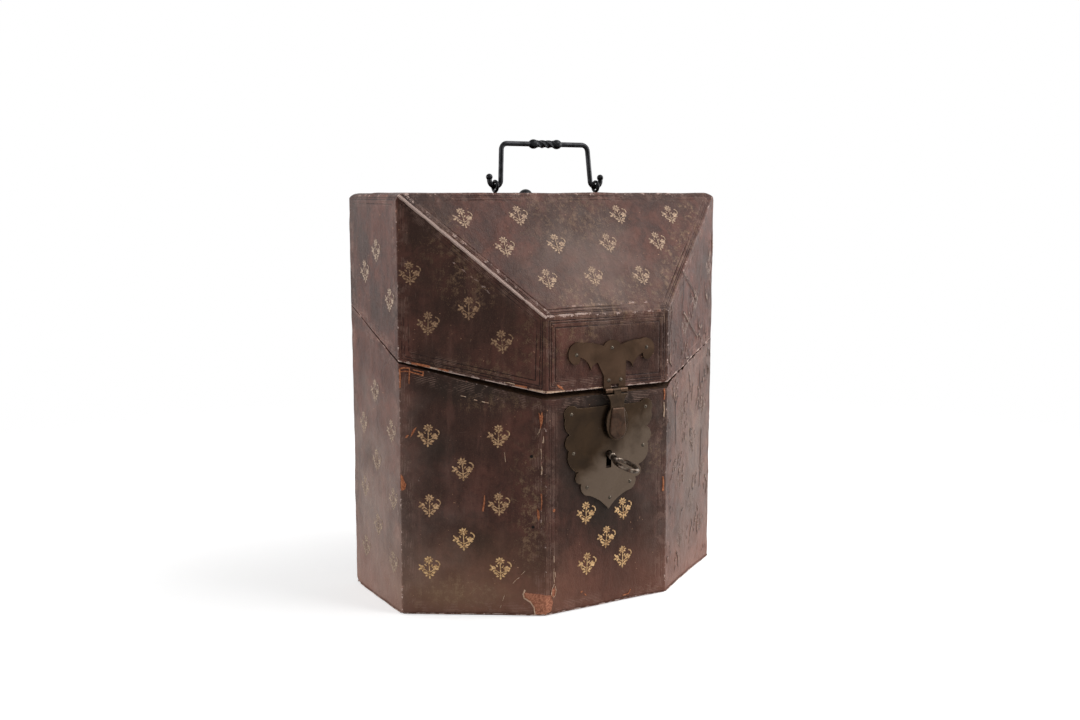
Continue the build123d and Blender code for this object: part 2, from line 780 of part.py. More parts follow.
# Lock case: an open pan behind the plate, with two ribs that guide the bolt
key_direction = Vector(0, -cos(radians(key_droop)), -sin(radians(key_droop)))
key_origin = Vector(0, front - plate / 2, keyhole_z)
nose_z = keyhole_z + (cover_y - box_wall / 2 - key_origin.Y) * tan(radians(key_droop))
guide_low = staple_z - bolt_height / 2 - 2 * bolt_fit
with BuildPart() as lock_case:
    with BuildSketch(Plane.XZ.offset(-front)):
        with Locations((0, (box_top + box_low) / 2)):
            Rectangle(2 * box_half_width, box_top - box_low)
            Rectangle(2 * (box_half_width - box_wall), box_top - box_low - 2 * box_wall, mode=Mode.SUBTRACT)
    extrude(amount=-(box_depth - box_wall))
    for x in (guide_left, guide_right):
        with BuildSketch(Plane.YZ.offset(x)):
            with Locations(((front + cover_in_y) / 2, (box_top + guide_low) / 2)):
                Rectangle(cover_in_y - front, box_top - guide_low)
            with Locations(((bolt_front_y + bolt_back_y) / 2, staple_z)):
                Rectangle(bolt_thick + bolt_fit, bolt_height + bolt_fit, mode=Mode.SUBTRACT)
        extrude(amount=guide_thick / 2, both=True)
finish(lock_case.part, "lock_case")

with BuildPart() as lock_cover:
    with BuildSketch(Plane.XZ.offset(-cover_y)):
        with Locations((0, (box_top + box_low) / 2)):
            Rectangle(2 * box_half_width, box_top - box_low)
        with Locations((0, nose_z)):
            Circle(nose_r + nose_play, mode=Mode.SUBTRACT)
    extrude(amount=box_wall)
finish(lock_cover.part, "lock_cover")

# Bolt, with a tail that reaches down towards the key, clear of the bit's sweep
bit_rise = (bit_depth + bit_length) * sin(radians(key_droop))
with BuildPart() as bolt:
    with BuildSketch(Plane.XZ.offset(-bolt_back_y)):
        with BuildLine():
            tail_low = keyhole_z + bit_reach + bit_rise + slide_fit
            bar_low, bar_top = staple_z - bolt_height / 2, staple_z + bolt_height / 2
            Polyline(
                (bolt_left, bar_low),
                (bolt_left, bar_top),
                (bolt_tip, bar_top),
                (bolt_tip, bar_low),
                (talon_x + talon_width / 2, bar_low),
                (talon_x + talon_width / 2, tail_low),
                (talon_x - talon_width / 2, tail_low),
                (talon_x - talon_width / 2, bar_low),
                close=True,
            )
        make_face()
    extrude(amount=bolt_thick)
finish(bolt.part, "bolt")

with BuildPart() as bolt_spring:
    spring_z = staple_z + bolt_height / 2 + 2 * bolt_fit
    spring_left, spring_right = -box_half_width + box_wall, guide_left - guide_thick / 2 - spring_gap
    with BuildSketch(Plane.XZ.offset(-bolt_back_y)):
        with BuildLine():
            Polyline(
                (spring_left, spring_z + spring_rise),
                (spring_left, spring_z + spring_rise + spring_thick),
                (spring_right, spring_z + spring_thick),
                (spring_right, spring_z),
                close=True,
            )
        make_face()
    extrude(amount=bolt_thick)
finish(bolt_spring.part, "bolt_spring")

def oval(middle, half_wide, half_long):
    """An oval of four tangent arcs about (0, middle), its end arcs tighter than its side arcs."""
    end_r = 0.7 * half_wide
    reach = half_long - end_r
    side_r = (half_wide**2 + reach**2 - end_r**2) / (2 * (half_wide - end_r))
    join_x = end_r * (side_r - half_wide) / (side_r - end_r)
    join_y = reach + end_r * reach / (side_r - end_r)
    for side in (-1, 1):
        start, end = (side * join_x, middle - side * join_y), (side * join_x, middle + side * join_y)
        ThreePointArc(start, (side * half_wide, middle), end)
        ThreePointArc(end, (0, middle + side * half_long), (-side * join_x, middle + side * join_y))


# Key, hanging a little in the worn keyhole, its oval bow turned level
key_up = Vector(0, -sin(radians(key_droop)), cos(radians(key_droop)))
key_across = Vector(1, 0, 0) * cos(radians(key_twist)) + key_up * sin(radians(key_twist))
key_plane = Plane(origin=key_origin, x_dir=key_across, z_dir=key_direction)
key_side = Plane(origin=key_origin, x_dir=key_plane.x_dir, z_dir=key_plane.y_dir * -1)
with BuildPart() as key:
    with BuildSketch(key_side) as key_profile:
        with BuildLine():
            Polyline(
                (0, -nose_length),
                (nose_r, -nose_length),
                (nose_r, -bit_depth - bit_length - 1),
                (shank_r, -bit_depth - bit_length - 1),
                (shank_r, collar_at),
                (collar_r, collar_at + 0.6),
                (collar_r, collar_at + 2.2),
                (shank_r, collar_at + 2.8),
                (shank_r * 0.8, bow_start + bow_r),
                (0, bow_start + bow_r),
                close=True,
            )
        make_face()
    revolve(axis=Axis(key_plane.origin, key_plane.z_dir))
    with BuildSketch(key_side.offset(-bit_thick / 2)):
        with Locations((-bit_reach / 2, -bit_depth - bit_length / 2)):
            Rectangle(bit_reach, bit_length)
    extrude(amount=bit_thick)
    with BuildLine(key_side) as bow_path:
        oval(bow_start + bow_length / 2, bow_width / 2 - bow_r, bow_length / 2 - bow_r)
    with BuildSketch(Plane(origin=bow_path.line @ 0, z_dir=bow_path.line % 0)):
        Circle(bow_r)
    sweep(path=bow_path.line)
finish(key.part, "key")
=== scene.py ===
"""Looks of the slant-lidded travelling case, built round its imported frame. Metres, in the CAD frame."""

import math
import random

import bmesh
import bpy
import numpy as np
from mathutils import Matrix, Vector
from mathutils.bvhtree import BVHTree


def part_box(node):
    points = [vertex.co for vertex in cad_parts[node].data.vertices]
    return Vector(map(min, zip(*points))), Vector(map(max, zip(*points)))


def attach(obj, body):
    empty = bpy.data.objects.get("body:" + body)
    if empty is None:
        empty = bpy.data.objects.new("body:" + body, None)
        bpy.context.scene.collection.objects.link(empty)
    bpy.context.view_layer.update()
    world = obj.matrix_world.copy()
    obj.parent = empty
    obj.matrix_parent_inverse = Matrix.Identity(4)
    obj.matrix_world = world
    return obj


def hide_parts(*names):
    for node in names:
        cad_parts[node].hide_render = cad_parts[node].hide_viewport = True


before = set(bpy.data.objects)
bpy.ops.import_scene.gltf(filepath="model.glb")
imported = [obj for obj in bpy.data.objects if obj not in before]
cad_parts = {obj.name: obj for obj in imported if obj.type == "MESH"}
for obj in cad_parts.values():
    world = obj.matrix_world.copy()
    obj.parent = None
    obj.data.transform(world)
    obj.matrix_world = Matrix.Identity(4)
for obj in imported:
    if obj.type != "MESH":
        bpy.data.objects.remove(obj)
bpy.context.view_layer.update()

MM = 0.001
rng = random.Random(11)


# Sizes read from the frame
def points_of(node):
    """The corners of a CAD node's mesh, as rows of x, y, z."""
    return np.array([v.co[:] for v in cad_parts[node].data.vertices])


TINY = 0.02 * MM
lid_points, case_points = points_of("lid_leather"), points_of("case_leather")
half_width, back, top = lid_points.max(0)
front = lid_points[:, 1].min()
ridge = lid_points[lid_points[:, 2] > top - TINY][:, 1].min()
lid_at_front = lid_points[lid_points[:, 1] < front + TINY]
case_at_front = case_points[case_points[:, 1] < front + TINY]
brow = lid_at_front[:, 2].max()
front_flat = lid_at_front[:, 0].max()
lid_rim_front, case_rim_front = lid_at_front[:, 2].min(), case_at_front[:, 2].max()
lid_rim_back = lid_points[lid_points[:, 1] > back - TINY][:, 2].min()
case_rim_back = case_points[:, 2].max()

CORNER_ROUND = 2.5 * MM
# The front's flat part ends where its corners' rounds begin, so its sharp corners lie a little further out
flat_turn = math.atan2(ridge - front, half_width - front_flat)
front_half = front_flat + CORNER_ROUND * math.tan(flat_turn / 2)
cant_angle = math.degrees(math.atan2(ridge - front, half_width - front_half))
FOOT_ROUND, HEEL_ROUND, ARRIS_ROUND = 2 * MM, 12 * MM, 2.2 * MM
CROWN_ROUNDS = {"left": 6.5 * MM, "right": 10 * MM, "back": 8 * MM}
LEATHER = 1.1 * MM


def rim_height(y, at_back, at_front):
    """Height of a rim that slopes evenly from the back face to the front face."""
    return at_front + (at_back - at_front) * (y - front) / (back - front)


# The plan's corners, clockwise from the back right when seen from above, and the names of its walls
PLAN = [(half_width, back), (half_width, ridge), (front_half, front)]
PLAN += [(-x, y) for x, y in reversed(PLAN)]
WALLS = ["right", "right_cant", "front", "left_cant", "left", "back"]


class Face:
    """A flat face of the case: its lower left corner seen from outside, and the ways along and up it."""

    def __init__(self, corner, along_to, up_to):
        self.corner = Vector(corner)
        self.along = (Vector(along_to) - self.corner).normalized()
        rise = Vector(up_to) - self.corner
        self.up = (rise - self.along * rise.dot(self.along)).normalized()
        self.normal = self.along.cross(self.up)

    def at(self, u, v, lift=0.0):
        """The point u along and v up the face, in millimetres."""
        return self.corner + (self.along * u + self.up * v + self.normal * lift) * MM


faces = {}
for wall, left_end, right_end in zip(WALLS, PLAN[1:] + PLAN[:1], PLAN):
    faces[wall] = Face((*left_end, 0), (*right_end, 0), (*left_end, top))
faces["slope"] = Face((-front_half, front, brow), (front_half, front, brow), (-front_half, ridge, top))
faces["top"] = Face((-half_width, ridge, top), (half_width, ridge, top), (-half_width, back, top))
# The three faces that most marks are placed on
FRONT, CANT, SLOPE = faces["front"], faces["left_cant"], faces["slope"]


# Structured panels. Stations are close together near each edge, where the tooled lines and rounds are.
GROOVES = (3.0, 4.9, 8.4)
GROOVE_HALF = 0.65
NEAR = [0, 0.35, 0.8, 1.3, 1.85, 2.3]
for groove in GROOVES:
    NEAR += [groove - GROOVE_HALF, groove - 0.25, groove, groove + 0.25, groove + GROOVE_HALF]
NEAR = sorted(set(NEAR + [4.1, 6.1, 7.1, 10.2, 11.8]))
# Even steps between the near stations, along each wall and up it
WIDE, DEEP, ON_CANT, LID_HIGH, CASE_HIGH = 96, 50, 62, 34, 86
ALONG = {"right": DEEP, "left": DEEP, "right_cant": ON_CANT, "left_cant": ON_CANT}


def stations(length, mids):
    """Distances along an edge: the near ones from both ends, and even steps between."""
    near = np.array(NEAR) * MM
    middle = np.linspace(near[-1], length - near[-1], mids + 2)[1:-1]
    return np.concatenate([near, middle, length - near[::-1]])


def from_ends(distances):
    """Each station's distance to the nearer end of its edge."""
    return np.minimum(distances, distances[-1] - distances)


def panel(corners, mids_u, mids_v):
    """Grid of points on a flat four-sided panel, and each one's distance to the panel's edge."""
    a, b, c, d = [np.array(p, float) for p in corners]
    low, high = stations(np.linalg.norm(b - a), mids_u), stations(np.linalg.norm(c - d), mids_u)
    left, right = stations(np.linalg.norm(d - a), mids_v), stations(np.linalg.norm(c - b), mids_v)
    e1 = (b - a) / np.linalg.norm(b - a)
    e2 = (d - a) - e1 * (d - a).dot(e1)
    e2 /= np.linalg.norm(e2)
    flat = [np.array([(p - a).dot(e1), (p - a).dot(e2)]) for p in (a, b, c, d)]
    on_low = flat[0] + np.outer(low / low[-1], flat[1] - flat[0])
    on_high = flat[3] + np.outer(high / high[-1], flat[2] - flat[3])
    on_left = flat[0] + np.outer(left / left[-1], flat[3] - flat[0])
    on_right = flat[1] + np.outer(right / right[-1], flat[2] - flat[1])
    climb = (on_high - on_low)[None, :, :]
    cross_line = (on_right - on_left)[:, None, :]
    offset = on_left[:, None, :] - on_low[None, :, :]
    turn = climb[..., 0] * cross_line[..., 1] - climb[..., 1] * cross_line[..., 0]
    share = (offset[..., 0] * cross_line[..., 1] - offset[..., 1] * cross_line[..., 0]) / turn
    at = on_low[None, :, :] + share[..., None] * climb
    grid = a + at[..., 0:1] * e1 + at[..., 1:2] * e2
    edge = np.minimum(from_ends(low)[None, :], from_ends(left)[:, None])
    return grid, edge


def wall_corners(index, low, high):
    """A wall's four corners, from the height functions of its lower and upper edge."""
    (x0, y0), (x1, y1) = PLAN[(index + 1) % 6], PLAN[index]
    return [(x0, y0, low(y0)), (x1, y1, low(y1)), (x1, y1, high(y1)), (x0, y0, high(y0))]


def walls_between(low, high, mids):
    """Panels of all six walls, between the height functions of their lower and upper edges."""
    return [panel(wall_corners(i, low, high), ALONG.get(wall, WIDE), mids) for i, wall in enumerate(WALLS)]


def roof_height(y):
    """The roof's height above a wall: the slope in front of the ridge and the top behind it."""
    return min(top, brow + (top - brow) * (y - front) / (ridge - front))


def put(name, data):
    """A new object in the scene."""
    item = bpy.data.objects.new(name, data)
    bpy.context.scene.collection.objects.link(item)
    return item


def sheet(name, panels):
    """One welded mesh from several panels, with the distance to the nearest edge kept on each point."""
    points, quads, edges, start = [], [], [], 0
    for grid, edge in panels:
        rows, columns = grid.shape[:2]
        index = start + np.arange(rows * columns).reshape(rows, columns)
        around = [index[:-1, :-1], index[:-1, 1:], index[1:, 1:], index[1:, :-1]]
        quads.append(np.stack(around, -1).reshape(-1, 4))
        points.append(grid.reshape(-1, 3))
        edges.append(edge.reshape(-1))
        start += rows * columns
    mesh = bpy.data.meshes.new(name)
    mesh.from_pydata(np.concatenate(points).tolist(), [], np.concatenate(quads).tolist())
    set_values(mesh, "edge_mm", np.concatenate(edges).astype(np.float32) / MM)
    work = bmesh.new()
    work.from_mesh(mesh)
    bmesh.ops.remove_doubles(work, verts=work.verts, dist=0.01 * MM)
    bmesh.ops.recalc_face_normals(work, faces=work.faces)
    work.to_mesh(mesh)
    work.free()
    mesh.shade_smooth()
    return put(name, mesh)


def get_points(mesh):
    points = np.empty(len(mesh.vertices) * 3)
    mesh.vertices.foreach_get("co", points)
    return points.reshape(-1, 3)


def set_points(mesh, points):
    mesh.vertices.foreach_set("co", points.reshape(-1))
    mesh.update()


def get_values(mesh, name):
    values = np.empty(len(mesh.vertices))
    mesh.attributes[name].data.foreach_get("value", values)
    return values


def set_values(mesh, name, values):
    mesh.attributes.new(name, "FLOAT", "POINT").data.foreach_set("value", values.astype(np.float32))


def blend(first, second, radius, turn):
    """Smooth maximum of two plane values, which rounds their edge to about that radius."""
    width = 4 * radius * (1 - math.cos(turn / 2))
    return np.maximum(first, second) + np.maximum(width - np.abs(first - second), 0) ** 2 / (4 * width)


def form(points):
    """How far points near the surface are outside the closed case with its rounded edges."""
    depth = {name: (points - np.array(face.corner)) @ np.array(face.normal) for name, face in faces.items()}
    foot = -points[:, 2]
    walls = depth["right"]
    for name, turn in zip(WALLS[1:], (90 - cant_angle, cant_angle, cant_angle, 90 - cant_angle, 90)):
        walls = blend(walls, depth[name], CORNER_ROUND, math.radians(turn))
    square = math.radians(90)
    parts = [walls, blend(depth["back"], foot, HEEL_ROUND, square)]
    parts += [blend(depth[name], depth["top"], radius, square) for name, radius in CROWN_ROUNDS.items()]
    block = np.maximum.reduce(parts)
    block = blend(block, depth["slope"], ARRIS_ROUND, math.radians(45))
    return blend(block, foot, FOOT_ROUND, square)


def outward(points):
    """The form's slope at each point: the way out, about one long."""
    step = 0.01 * MM
    rises = [form(points + step * way) - form(points - step * way) for way in np.eye(3)]
    return np.stack(rises, 1) / (2 * step)


def onto_form(points):
    """Points of the sharp form moved onto the rounded one."""
    for _ in range(6):
        way = outward(points)
        points = points - way * (form(points) / np.maximum((way**2).sum(1), 0.2))[:, None]
    return points


def waves(points, size, seed, count=14):
    """Smooth random relief about 0, mostly within 1 either way, with features of about that size."""
    source = np.random.default_rng(seed)
    ways = source.normal(size=(count, 3))
    ways *= (source.uniform(0.6, 1.5, count) / np.linalg.norm(ways, axis=1))[:, None]
    shift = source.uniform(0, 2 * math.pi, count)
    return np.sin(points @ ways.T * (math.pi / size) + shift).sum(1) / math.sqrt(count / 2)


def groove_depth(edge, points):
    """Depth of the blind lines at each point, fading in places."""
    depth = np.zeros(len(edge))
    for place in GROOVES:
        depth += np.clip(1 - np.abs(edge - place) / GROOVE_HALF, 0, 1)
    return depth * np.clip(0.75 + 0.35 * waves(points, 38 * MM, 5), 0.15, 1)


def fold_in(item, loop_at, thick, turn_to):
    """Fold an open edge inward by the leather's thickness, and turn it back along the board."""
    work = bmesh.new()
    work.from_mesh(item.data)
    work.normal_update()
    layer = work.verts.layers.float["edge_mm"]
    rim = [e for e in work.edges if e.is_boundary and all(loop_at(v.co) for v in e.verts)]
    inward = {}
    for edge in rim:
        for v in edge.verts:
            inward[v.index] = -Vector((v.normal.x, v.normal.y, 0)).normalized()
    for step in ("across", "back"):
        made = bmesh.ops.extrude_edge_only(work, edges=rim)["geom"]
        rim = [g for g in made if isinstance(g, bmesh.types.BMEdge)]
        old = {}
        for v in {v for e in rim for v in e.verts}:
            source = next(e.other_vert(v) for e in v.link_edges if e.other_vert(v).index in inward)
            old[v] = inward[source.index]
        work.verts.index_update()
        inward = {}
        for v, way in old.items():
            v.co += way * thick if step == "across" else Vector((0, 0, turn_to))
            v[layer] = 0.0
            inward[v.index] = way
    bmesh.ops.recalc_face_normals(work, faces=work.faces)
    work.to_mesh(item.data)
    work.free()


def wrinkles(points, face, scale, seed):
    """Fine raised cracks that run up a face, as where old leather has shrunk."""
    across = (points - np.array(face.corner)) @ np.array(face.along)
    drift = 5.0 * MM * waves(points, 26 * MM, seed) + 1.8 * MM * waves(points, 8 * MM, seed + 1)
    ridge_line = 1 - np.abs(np.sin((across + drift) * math.pi / scale))
    patch = np.clip(waves(points, 15 * MM, seed + 2) - 0.2, 0, 1)
    on_face = np.abs((points - np.array(face.corner)) @ np.array(face.normal)) < 1 * MM
    return np.clip(ridge_line - 0.72, 0, 1) / 0.28 * patch * on_face


def rub_along(points, lines):
    """How worn each point is, from 0 to 1. A line has two ends, a strength and a width in millimetres."""
    worn = np.zeros(len(points))
    for start, end, strength, width in lines:
        start, way = np.array(start), np.array(end) - np.array(start)
        share = np.clip(((points - start) @ way) / (way @ way), 0, 1)
        apart = np.linalg.norm(points - start - share[:, None] * way, axis=1) / (width * MM)
        worn = np.maximum(worn, strength * np.clip(1.5 - apart, 0, 1))
    return worn


# The skin's relief, in millimetres: the tooled lines, the slow undulation as height, size and seed, and
# how far the whole skin sits below the CAD surface
GROOVE_DEEP, SUNK = 0.4, 0.1
UNDULATION = ((0.16, 34, 1), (0.09, 13, 2), (0.04, 4.5, 3))
# Within this many millimetres of the top, the relief sinks no deeper than this
CROWN_BAND, CROWN_DEEP = 14, 0.2
# How much each face has shrunk, and the size and seed of its wrinkles
SHRUNK = (
    ("right_cant", 1.3, 8.5, 21),
    ("right", 0.4, 12.0, 71),
    ("left", 0.2, 8.0, 31),
    ("back", 0.3, 11.0, 41),
    ("left_cant", 0.12, 7.0, 51),
    ("slope", 0.1, 9.0, 61),
)


def weather(item, lines, tooling):
    """Round a skin, and press tooled lines, slow undulation and shrinkage cracks into it."""
    mesh = item.data
    points, edge = get_points(mesh), get_values(mesh, "edge_mm")
    set_values(mesh, "rub", rub_along(points, lines))
    groove = groove_depth(edge, points) * tooling(points)
    set_values(mesh, "groove", groove)
    points = onto_form(points)
    normals = outward(points)
    normals /= np.linalg.norm(normals, axis=1)[:, None]
    lift = -GROOVE_DEEP * MM * groove
    for height, size, seed in UNDULATION:
        lift += height * MM * waves(points, size * MM, seed)
    lift -= SUNK * MM
    cracked = np.zeros(len(points))
    for name, amount, scale, seed in SHRUNK:
        cracked += amount * wrinkles(points, faces[name], scale * MM, seed)
    cracked *= np.clip((points[:, 2] - 4 * MM) / (16 * MM), 0, 1) * np.clip(edge / 4, 0.15, 1)
    cracked += 0.9 * rub_along(points, FOLDS)
    set_values(mesh, "crack", cracked)
    lift += cracked * MM
    band = CROWN_BAND * MM
    at_crown = (points[:, 2] > top - band) & (form(points + [0, 0, band]) > 0)
    lift = np.where(at_crown, np.maximum(lift, -CROWN_DEEP * MM), lift)
    set_points(mesh, points + normals * lift[:, None])


# How far the case's hide stands into the gap, in millimetres, and how deep a strip of it is stretched
CREEP_RIGHT, CREEP_LEFT, CREEP_RAGGED, CREEP_STRIP = 2.6, 1.7, 0.7, 7


def creep(item):
    """Stretch the case's upper rim into the gap: most at the right sides, not at all at the front."""
    points = get_points(item.data)
    behind = np.clip((points[:, 1] - ridge) / (back - ridge), 0, 1)
    ahead = np.clip((ridge - points[:, 1]) / (ridge - front), 0, 1)
    on_right = CREEP_RIGHT * (1 - behind) ** 1.5 * np.clip((1 - ahead) / 0.07, 0, 1)
    on_right += CREEP_RAGGED * waves(points, 3.5 * MM, 81) * (ahead > 0) * (ahead < 0.98)
    on_left = CREEP_LEFT * (1 - behind) * np.clip(1 - ahead / 0.7, 0, 1)
    below = (case_rim(points[:, 1]) - points[:, 2]) / MM
    share = np.clip(1 - below / CREEP_STRIP, 0, 1)
    points[:, 2] += np.where(points[:, 0] > 0, on_right, on_left) * share * MM
    set_points(item.data, points)


# Long folds in the shrunken hide of the right canted face
fold_at = faces["right_cant"].at
FOLDS = [
    (fold_at(33, 261), fold_at(70, 235), 0.9, 0.8),
    (fold_at(35, 227), fold_at(72, 203), 1.0, 0.8),
    (fold_at(36, 258), fold_at(33, 232), 0.5, 0.9),
    (fold_at(52, 175), fold_at(57, 158), 0.8, 0.7),
    (fold_at(63, 164), fold_at(60, 150), 0.8, 0.7),
    (fold_at(82, 172), fold_at(79, 140), 0.6, 0.8),
    (fold_at(20, 160), fold_at(23, 120), 0.5, 0.9),
    (fold_at(88, 120), fold_at(84, 70), 0.6, 0.9),
]


# Case skin, from the floor to the rim, with the lock's pocket left open behind its plate
def case_rim(y):
    return rim_height(y, case_rim_back, case_rim_front)


def lid_rim(y):
    return rim_height(y, lid_rim_back, lid_rim_front)


def floor_line(y):
    return 0.0


def on_walls(points, on_front, elsewhere):
    """One value for points on the front face and another for the rest."""
    return np.where(points[:, 1] < front + 0.5 * MM, on_front, elsewhere)


case_skin = sheet("case_skin", walls_between(floor_line, case_rim, CASE_HIGH))
CORNER_WEAR = (0.35, 0.35, 0.35, 0.28, 0.4, 0.4)
case_lines = [((*at, 0), (*at, case_rim(at[1])), wear, 1.4) for at, wear in zip(PLAN, CORNER_WEAR)]
for i, wear in enumerate((0.35, 0.35, 0.2, 0.35, 0.4, 0.4)):
    low_left, low_right, high_right, high_left = wall_corners(i, floor_line, case_rim)
    case_lines += [(low_left, low_right, 0.62, 1.3), (high_left, high_right, wear, 1.2)]
case_lines.append((CANT.at(108.2, 142), CANT.at(107.8, 60), 0.55, 0.8))


def case_tooling(points):
    """Strength of the blind lines on the case: faint, and worn off along the foot."""
    return np.where(points[:, 2] < 14 * MM, 0.05, on_walls(points, 0.45, 0.12))


weather(case_skin, case_lines, case_tooling)
creep(case_skin)

ridge_ends = [(-half_width, ridge, top), (half_width, ridge, top)]
SLOPE_CORNERS = [(-front_half, front, brow), (front_half, front, brow), *reversed(ridge_ends)]
TOP_CORNERS = [*ridge_ends, (half_width, back, top), (-half_width, back, top)]
roof_panels = [panel(SLOPE_CORNERS, WIDE, ON_CANT), panel(TOP_CORNERS, WIDE, DEEP)]
lid_skin = sheet("lid_skin", walls_between(lid_rim, roof_height, LID_HIGH) + roof_panels)
lid_lines = [
    (SLOPE_CORNERS[0], SLOPE_CORNERS[3], 1.6, 1.2),
    (SLOPE.at(4.4, 3.4), SLOPE.at(-88.6, 112), 0.42, 2.2),
    (SLOPE_CORNERS[0], SLOPE_CORNERS[1], 0.5, 1.5),
    (SLOPE_CORNERS[1], SLOPE_CORNERS[2], 0.42, 1.2),
    (SLOPE_CORNERS[2], SLOPE_CORNERS[3], 0.48, 2.5),
    (SLOPE.at(2, 1), SLOPE.at(40, 1), 0.8, 1.2),
    (SLOPE.at(22, 8.4), SLOPE.at(96, 8.4), 0.55, 1.0),
    (CANT.at(30, 281), CANT.at(49, 268), 0.5, 0.8),
    (CANT.at(49, 268), CANT.at(70, 250), 0.55, 0.9),
]
RIM_AND_TOP_WEAR = ((0.5, 0.4), (0.6, 0), (0.75, 0), (0.8, 0), (0.45, 0.4), (0.4, 0.4))
for i, (rim_wear, top_wear) in enumerate(RIM_AND_TOP_WEAR):
    low_left, low_right, high_right, high_left = wall_corners(i, lid_rim, roof_height)
    lid_lines += [(low_left, low_right, rim_wear, 1.5), (high_left, high_right, top_wear, 2.5)]
    lid_lines.append((low_right, high_right, CORNER_WEAR[i], 1.4))


def lid_tooling(points):
    """Strength of the blind lines on the lid: full on the slope, the top and the front."""
    return np.where(form(points + [0, 0, 1 * MM]) > 0, 1.0, on_walls(points, 1.0, 0.3))


weather(lid_skin, lid_lines, lid_tooling)


def open_pocket(item, half, low, high):
    """Take away the quads of the front wall behind the lock plate."""
    work = bmesh.new()
    work.from_mesh(item.data)
    middles = [(f, f.calc_center_median()) for f in work.faces]
    inside = [f for f, c in middles if c.y < front + 2 * MM and abs(c.x) < half and low < c.z < high]
    bmesh.ops.delete(work, geom=inside, context="FACES")
    work.to_mesh(item.data)
    work.free()


box_low, box_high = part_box("lock_case")
# How far the folded edges are turned back along the boards, at the rims and at the foot
RIM_TURN, FOOT_TURN = 2.5 * MM, 0.9 * MM
fold_in(case_skin, lambda p: p.z > case_rim_front / 2, LEATHER, -RIM_TURN)
fold_in(case_skin, lambda p: p.z < FOOT_ROUND, LEATHER, FOOT_TURN)
open_pocket(case_skin, box_high.x - 5 * MM, box_low.z + 6 * MM, box_high.z - 2 * MM)
fold_in(lid_skin, lambda p: True, LEATHER, RIM_TURN)

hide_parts("case_leather")
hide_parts("lid_leather")
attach(case_skin, "case")
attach(lid_skin, "lid")


# Materials
def linear(colour):
    """A colour whose three parts are given as 0 to 255 on screen, as linear light."""
    values = []
    for part in colour:
        c = part / 255
        values.append(c / 12.92 if c <= 0.04045 else ((c + 0.055) / 1.055) ** 2.4)
    return (*values, 1.0)


def feed(tree, socket, value):
    """Link an output to a socket, or set the socket to a constant."""
    if isinstance(value, bpy.types.NodeSocket):
        tree.links.new(value, socket)
    else:
        socket.default_value = value


def add_node(tree, kind, inputs, **settings):
    """A new shader node with its settings, each input linked or set."""
    made = tree.nodes.new("ShaderNode" + kind)
    for name, value in settings.items():
        setattr(made, name, value)
    for key, value in inputs.items():
        feed(tree, made.inputs[key], value)
    return made


